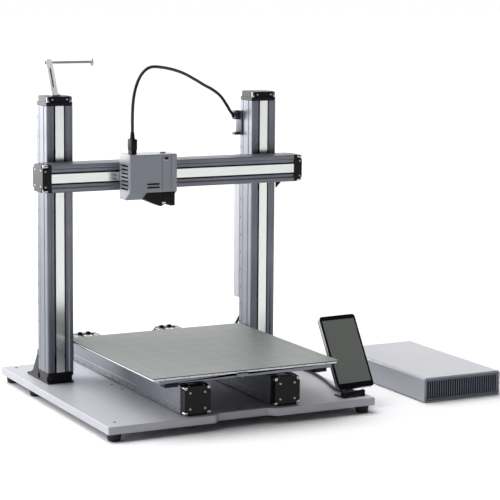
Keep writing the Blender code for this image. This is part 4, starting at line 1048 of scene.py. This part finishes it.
nozzle = show("hot_end", hot_end(), "head", copper)
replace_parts(nozzle, "hot_end_nozzle")
front_half = 7.2 * MM
duct_front = block((nozzle_axis.x - front_half, duct_low.y, nozzle_low.z + 8 * MM),
                   (nozzle_axis.x + front_half, duct_low.y + 1.6 * MM, duct_high.z), 0.3 * MM)
show("duct_front", duct_front, "head", black_plastic)
heater = block((nozzle_axis.x - 6.6 * MM, nozzle_axis.y - 6.8 * MM, nozzle_low.z + 4.4 * MM),
               (nozzle_axis.x + 6.6 * MM, nozzle_axis.y + 6.4 * MM, nozzle_low.z + 9 * MM), 0.5 * MM)
show("heater_block", heater, "head", bright_steel)


def painted_shade_liner():
    """Dark sheets just inside the cover, painted shade that the vents and slots look on to."""
    inside = WALL + 3 * MM
    front, back = cover_low.y + inside, cover_high.y - 9 * MM
    low, high = cover_low.z + SLANT_UP + 2 * MM, cover_high.z - WALL - 1 * MM
    sides = [block((x - 0.2 * MM, front + 1 * MM, low), (x + 0.2 * MM, back, high), 0)
             for x in (cover_low.x + inside, cover_high.x - inside)]
    return gathered(*sides, block((cover_low.x + inside + 1 * MM, front, low),
                                  (cover_high.x - inside - 1 * MM, front + 0.5 * MM, high - 2 * MM), 0))


def slot_shade_bars():
    """Dark bars in the two front slots, a little behind the cover's face: painted shade of the head's inside."""
    left, z = cover_low.x + SLOT_IN + SLOT_CLEARANCE, cover_low.z + SLOT_UP
    right = left + SLOT_WIDTH - 2 * SLOT_CLEARANCE
    bars = [block((left, cover_low.y + 0.6 * MM, z - drop - SLOT_HALF),
                  (right, cover_low.y + WALL, z - drop + SLOT_HALF), 0)
            for drop in (0, SLOT_PITCH)]
    return gathered(*bars)


# Painted shade: dark sheets inside the head, where the vents and slots show its shaded inside.
show("head_liner", painted_shade_liner(), "head", black_plastic)
# Painted shade: dark bars that fill the two front slots, where the inside of the head is in shade.
show("head_slot_grilles", slot_shade_bars(), "head", black_plastic)

# %% Plug of the head's cable
def plug_shape():
    """A flat connector shell with a grip, and a ribbed sleeve that keeps the cable from kinking."""
    half_x, half_y, inset = 5.5 * MM, 9.5 * MM, 0.7 * MM
    foot = cover_high.z + 0.3 * MM
    shell_top = foot + 26 * MM
    shell = slab(rounded(-half_x, -half_y, half_x, half_y, 2 * MM), foot + 7 * MM, shell_top, 1 * MM, 3)
    neck = rounded(-half_x + inset, -half_y + inset, half_x - inset, half_y - inset, 1.6 * MM)
    base = slab(neck, foot, foot + 7.4 * MM, 0.4 * MM)
    stem = block((-3.5 * MM, -3.5 * MM, foot - 5 * MM), (3.5 * MM, 3.5 * MM, foot + 1 * MM))
    sleeve_profile = [(0, shell_top - 1 * MM), (4.6 * MM, shell_top - 1 * MM)]
    for index in range(5):
        low, radius = shell_top + 0.3 * MM + index * 2.5 * MM, (4.4 - 0.25 * index) * MM
        sleeve_profile += [(radius, low), (radius, low + 1.5 * MM), (radius - 0.7 * MM, low + 1.7 * MM),
                           (radius - 0.7 * MM, low + 2.3 * MM)]
    sleeve_profile += [(HEAD_CABLE / 2 + 0.1 * MM, plug_high.z), (0, plug_high.z)]
    return moved(gathered(shell, base, stem, lathe(sleeve_profile, 32)),
                 Matrix.Translation((plug_middle.x, plug_middle.y, 0)))


plug = show("head_cable_plug", plug_shape(), "head", black_plastic)
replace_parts(plug, "head_plug")

clip_half, clip_line, clip_length = cables["head_cable_clip_half"]
head_half, head_line, head_length = cables["head_cable_head_half"]
screen_lead, screen_line, screen_length = cables["touchscreen_cable"]
for piece in (clip_half, head_half, screen_lead):
    piece.data.materials.append(cable_jacket.material)
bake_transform(clip_half)
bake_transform(head_half)
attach(screen_lead, "base")
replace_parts(clip_half, "head_cable_upper")
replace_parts(head_half, "head_cable_lower")
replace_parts(screen_lead, "screen_cable")
print("cable lengths:", [round(value, 4) for value in (clip_length, head_length, screen_length)])

# %% [markdown]
# ## On the columns
#
# The spool holder is a slotted arm that leans back from the left column, with a thin rod for the
# spool. The controller is a tall case behind the right column, with a row of sockets and a vent.
# A clip beside it holds the head's cable, and both columns have a knob at the back.

# %% Spool holder
softened("spool_arm", holder_metal, 0.7 * MM, 3)
rod_low, rod_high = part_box("spool_rod")
rod_axis = (rod_low + rod_high) / 2


def spool_rod():
    """A thin rod with a head at one end and a round stop at the other."""
    start, end = rod_low.x, rod_high.x
    head = ((0, start), (2.6 * MM, start), (3.6 * MM, start + 0.8 * MM), (3.6 * MM, start + 2 * MM),
            (2.25 * MM, start + 2.1 * MM), (2.25 * MM, end - 5.2 * MM))
    stop = ((3, 5), (6.4, 4.2), (7, 3.8), (7, 2.3), (6.5, 2), (3, 1), (0, 0))
    profile = (*head, *[(radius * MM, end - back * MM) for radius, back in stop])
    turned = Matrix.Translation((0, rod_axis.y, rod_axis.z)) @ Matrix.Rotation(math.pi / 2, 4, "Y")
    return moved(lathe(profile, 40), turned)


rod_piece = show("spool_rod_turned", spool_rod(), "base", rod_metal)
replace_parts(rod_piece, "spool_rod")
arm_low, arm_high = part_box("spool_arm")
arm_foot = Vector(((arm_low.x + arm_high.x) / 2, arm_low.y + 9 * MM, arm_low.z))
arm_way = Vector((0, rod_axis.y - arm_foot.y, rod_axis.z - arm_foot.z))
reach = arm_way.length
pawl = block((-1.2 * MM, -1.4 * MM, 15 * MM), (1.2 * MM, 1.4 * MM, reach - 11 * MM))
lean = Matrix.Rotation(-math.atan2(arm_way.y, arm_way.z), 4, "X")
show("spool_arm_pawl", moved(pawl, Matrix.Translation(arm_foot) @ lean), "base", black_metal)
arm_spots = [facing((0, 0, 1), (x, arm_low.y + 3.5 * MM, arm_low.z + 2 * MM))
             for x in (arm_low.x + 3 * MM, arm_high.x - 3 * MM)]
show("spool_arm_screws", gathered((socket_screw(1.6 * MM, 1.2 * MM), arm_spots)), "base", bright_steel)

# %% Controller case
case_low, case_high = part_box("controller_case")


CASE_VENTS, CASE_VENT_PITCH = 14, 5 * MM
CASE_SOCKETS = ((18, 9), (36, 14), (62, 14), (88, 14), (112, 6))


def vent_shade_and_sockets():
    """Flat dark strips of painted shade for the vents in the controller's back, and dark sockets in its outer
    side, each (height, length), partly black housings and partly painted shade.
    """
    middle_x = (case_low.x + case_high.x) / 2
    back = case_high.y
    dark = []
    for index in range(CASE_VENTS):
        z = case_low.z + 40 * MM + index * CASE_VENT_PITCH
        dark.append(block((middle_x - 13 * MM, back - 0.2 * MM, z),
                          (middle_x + 13 * MM, back + 0.12 * MM, z + 2 * MM), 0))
    for height, tall in CASE_SOCKETS:
        z = case_low.z + height * MM
        dark.append(block((case_high.x - 0.4 * MM, back - 18 * MM, z),
                          (case_high.x + 0.12 * MM, back - 7 * MM, z + tall * MM), 0))
    return gathered(*dark)


softened("controller_case", paint, 1.2 * MM, 3)
# Flat dark strips: painted shade in the vent openings, and black socket housings with painted shade in them.
show("controller_vent_shade_and_sockets", vent_shade_and_sockets(), "base", black_plastic)
case_screws = [facing((0, 1, 0), (x, case_high.y - 0.2 * MM, z))
               for x in (case_low.x + 5 * MM, case_high.x - 5 * MM)
               for z in (case_low.z + 8 * MM, case_high.z - 8 * MM)]
show("controller_screws", gathered((socket_screw(1.8 * MM, 0.9 * MM), case_screws)), "base", bright_steel)
inlet = lathe(in_mm((0, -6), (3.9, -6), (4.6, -2), (4.6, 0.1), (0, 0.1)), 32)
moved(inlet, Matrix.Translation((*screen_line[-1].xy, case_low.z)))
show("controller_gland", inlet, "base", black_plastic)

# %% Cable clip and the knobs behind the columns
clip_low, clip_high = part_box("cable_clip")


def clip_shape():
    """A thin plate against the column, with a lug at each end and one that holds the cable."""
    back = clip_high.x - 2.6 * MM
    lug_y = clip_high.y - 15 * MM
    parts = [block((back, clip_low.y, clip_low.z), (clip_high.x, clip_high.y, clip_high.z), 0.6 * MM)]
    for low, high in ((clip_low.z, clip_low.z + 5 * MM), (clip_high.z - 5 * MM, clip_high.z),
                      (clip_line[0].z - 6 * MM, clip_line[0].z + 5 * MM)):
        lug_high = (back + 0.6 * MM, clip_high.y - 3 * MM, high)
        parts.append(block((clip_low.x, lug_y, low), lug_high, 0.7 * MM))
    return gathered(*parts)


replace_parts(show("cable_clip_bracket", clip_shape(), body_of("cable_clip"), clip_metal), "cable_clip")
gland_way = (clip_line[1] - clip_line[0]).normalized()
gland = lathe(in_mm((3.1, 0), (4.6, 0), (4.6, 4), (4, 6), (3.1, 7), (3.1, 0)), 32)
moved(gland, facing(gland_way, clip_line[0] - gland_way * 1.5 * MM))
show("cable_gland", gland, "base", black_plastic)
for side in ("left", "right"):
    low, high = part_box(f"z_{side}_rail")
    knob = lathe(in_mm((0, 0), (5, 0), (5.4, 0.6), (5.4, 6), (4.6, 7), (0, 7)), 24)
    spot = Vector(((low.x + high.x) / 2, high.y - 0.1 * MM, DECK.z + 100 * MM))
    show(f"z_{side}_knob", moved(knob, facing((0, 1, 0), spot)), "base", black_plastic)

# %% [markdown]
# ## The touchscreen
#
# The touchscreen has its own frame too, with the hinge's axis as x. The joint says where that
# axis is, and the screen leans back from it by a fixed angle. The body is a rounded metal frame
# with a dark back. A sheet of black glass covers its front from edge to edge, and the display is
# a thin panel just under it, drawn as a pane that stands a hair in front.

# %% Frame of the touchscreen
hinge_joint = next(joint for joint in frame["joints"] if joint["name"] == "screen_tilt")
hinge_point = Vector(hinge_joint["pos_m"])
hinge_axis = -Vector(hinge_joint["axis"])
SCREEN_LEAN = math.radians(29.4)
OVER_HINGE, BEFORE_HINGE = 10.7 * MM, 9.9 * MM
hinge_turn = Matrix.Rotation(math.atan2(hinge_axis.y, hinge_axis.x), 4, "Z")
screen_place = Matrix.Translation(hinge_point) @ hinge_turn @ Matrix.Rotation(-SCREEN_LEAN, 4, "X")
local = [screen_place.inverted() @ vertex.co for vertex in frame["nodes"]["screen_body"].data.vertices]
left, right = min(point.x for point in local), max(point.x for point in local)
bottom_z, top_z = OVER_HINGE, max(point.z for point in local)
front_y, back_y = BEFORE_HINGE, max(point.y for point in local)
print("screen is", round((right - left) / MM, 1), "x", round((top_z - bottom_z) / MM, 1), "mm")

# %% Screen body, glass and display
GLASS = 1.6 * MM
SHELL_DEPTH = 4.6 * MM
raise_up = screen_place @ to_front


def panel(inset, front, back, radius, edge, segments=3, low=0.0, high=0.0):
    """A pane in the plane of the screen; low and high draw its bottom and top edges further in."""
    outline = rounded(left + inset, bottom_z + inset + low, right - inset, top_z - inset - high, radius, 8)
    return moved(slab(outline, front, back, edge, segments), raise_up)


body_frame = panel(0, front_y + GLASS * 0.5, front_y + GLASS + SHELL_DEPTH, 6 * MM, 0.8 * MM)
barrel = drum(4 * MM, -18.7 * MM, 18.7 * MM, 40, 0.5 * MM)
moved(barrel, screen_place @ Matrix.Rotation(math.pi / 2, 4, "Y"))
arm = block((-6 * MM, 0, -1 * MM), (6 * MM, front_y + 5 * MM, 3 * MM), 0.6 * MM)
arm_turn = math.atan2(bottom_z - 0.5 * MM, front_y + 5 * MM)
moved(arm, screen_place @ Matrix.Rotation(arm_turn, 4, "X"))
screen_frame = show("screen_frame", body_frame, "screen", screen_frame_metal)
screen_frame.modifiers.new("even shading", "WEIGHTED_NORMAL").keep_sharp = True
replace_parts(screen_frame, "screen_body")
show("screen_hinge", gathered(barrel, arm), "screen", black_metal)
back_panel = panel(1.2 * MM, front_y + GLASS + SHELL_DEPTH - 0.2 * MM, back_y, 5 * MM, 1.4 * MM)
show("screen_back", back_panel, "screen", black_plastic)
glass_pane = panel(0.25 * MM, front_y, front_y + GLASS, 5.8 * MM, 0.4 * MM)
show("screen_glass_pane", glass_pane, "screen", black_glass)
display = panel(4.2 * MM, front_y - 0.06 * MM, front_y + 0.5 * MM, 0.6 * MM, 0, 2, 6 * MM, 4 * MM)
show("screen_display", display, "screen", display_panel)
softened("screen_stand", black_metal, 0.5 * MM)

# %% [markdown]
# ## The power unit
#
# The power unit is an aluminium sleeve with a louvred front. Between the louvres one looks into
# the shaded inside, which a black block behind them paints as shade. The back has the rocker
# switch and an inlet.

# %% Power unit
power_low, power_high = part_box("power_case")
grille_low, grille_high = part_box("power_grille")
softened("power_case", sleeve, 0.5 * MM, 3, 40)
softened("power_grille", grille_metal, 0.25 * MM, 1)
keep("power_switch", black_plastic)
# A black block behind the louvres: painted shade of the unit's inside.
shade_block = block((grille_low.x + 2 * MM, grille_high.y + 3 * MM, grille_low.z + 2 * MM),
             (grille_high.x - 2 * MM, grille_high.y + 9 * MM, grille_high.z - 2 * MM))
show("power_shade_block", shade_block, "base", black_plastic)
inlet_x = power_low.x + 34 * MM
inlet_z = (power_low.z + power_high.z) / 2
inlet_rim = carved(block((inlet_x - 15 * MM, power_high.y - 2 * MM, inlet_z - 11 * MM),
                         (inlet_x + 15 * MM, power_high.y + 0.1 * MM, inlet_z + 11 * MM), 0),
                   block((inlet_x - 12 * MM, power_high.y - 1.5 * MM, inlet_z - 8 * MM),
                         (inlet_x + 12 * MM, power_high.y + 1 * MM, inlet_z + 8 * MM), 0))
show("power_inlet", inlet_rim, "base", black_plastic)
pins = []
for step in (-1, 0, 1):
    x = inlet_x + step * 7 * MM
    pins.append(block((x - 1 * MM, power_high.y - 1.8 * MM, inlet_z - 2.5 * MM),
                      (x + 1 * MM, power_high.y - 0.2 * MM, inlet_z + 2.5 * MM), 0.2 * MM))
show("power_inlet_pins", gathered(*pins), "base", bright_steel)

# %% [markdown]
# ## The studio
#
# The machine stands on a pale floor under soft light. A very soft sun overhead lights the tops and
# leaves the front faces in shade. The metal's left faces mirror what is behind and to the left, so
# the largest softbox stands there, and a weak one at the left fills in. The world is white for the
# camera. For everything else it fades from bright at the back left to nearly black at the front
# right, which keeps the metal from turning grey and flat.

# %% Floor
def floor():
    """A pale floor far wider than the picture."""
    bm = bmesh.new()
    bmesh.ops.create_grid(bm, x_segments=1, y_segments=1, size=30)
    mesh = bpy.data.meshes.new("floor")
    bm.to_mesh(mesh)
    bm.free()
    plain = bpy.data.materials.new("floor")
    plain.use_nodes = True
    shader = plain.node_tree.nodes["Principled BSDF"]
    shader.inputs["Base Color"].default_value = (0.82, 0.82, 0.83, 1)
    shader.inputs["Roughness"].default_value = 0.9
    mesh.materials.append(plain)
    ground = linked("floor", mesh)


floor()


# %% Lights
def softbox(name, wide, tall, power, place, target):
    """A rectangular light at a place, in metres from the deck's middle, aimed at a target."""
    light = bpy.data.lights.new(name, "AREA")
    light.shape = "RECTANGLE"
    light.size = wide
    light.size_y = tall
    light.energy = power
    lamp = linked(name, light)
    lamp.location = DECK + Vector(place)
    lamp.rotation_euler = (Vector(target) - Vector(place)).to_track_quat("-Z", "Y").to_euler()


softbox("left_softbox", 2.4, 2.2, 14, (-3.0, 0.6, 0.9), (0, 0, 0.25))
softbox("back_left_sweep", 4.2, 3.0, 135, (-2.0, 3.6, 0.5), (0, 0, 0.2))

sun = bpy.data.lights.new("ceiling", "SUN")
sun.energy = 2.6
sun.angle = math.radians(60)
ceiling = linked("ceiling", sun)
ceiling.rotation_euler = Vector((0.25, -0.25, -0.93)).to_track_quat("-Z", "Y").to_euler()

world = bpy.data.worlds.new("studio")
world.use_nodes = True
sky = world.node_tree
background = sky.nodes["Background"]
background.inputs["Color"].default_value = (1, 1, 1, 1)
direction = sky.nodes.new("ShaderNodeTexCoord")
facing_light = sky.nodes.new("ShaderNodeVectorMath")
facing_light.operation = "DOT_PRODUCT"
facing_light.inputs[1].default_value = Vector((-0.45, 0.85, 0.25)).normalized()
sky.links.new(direction.outputs["Generated"], facing_light.inputs[0])
graded = sky.nodes.new("ShaderNodeMapRange")
for name, value in (("From Min", -0.2), ("From Max", 0.5), ("To Min", 0.02), ("To Max", 1.1)):
    graded.inputs[name].default_value = value
sky.links.new(facing_light.outputs["Value"], graded.inputs["Value"])
path = sky.nodes.new("ShaderNodeLightPath")
strength = sky.nodes.new("ShaderNodeMix")
strength.inputs[3].default_value = 1.0
sky.links.new(path.outputs["Is Camera Ray"], strength.inputs[0])
sky.links.new(graded.outputs["Result"], strength.inputs[2])
sky.links.new(strength.outputs[0], background.inputs["Strength"])
bpy.context.scene.world = world
bpy.context.scene.view_settings.view_transform = "Standard"
print("lights:", len(bpy.data.lights))
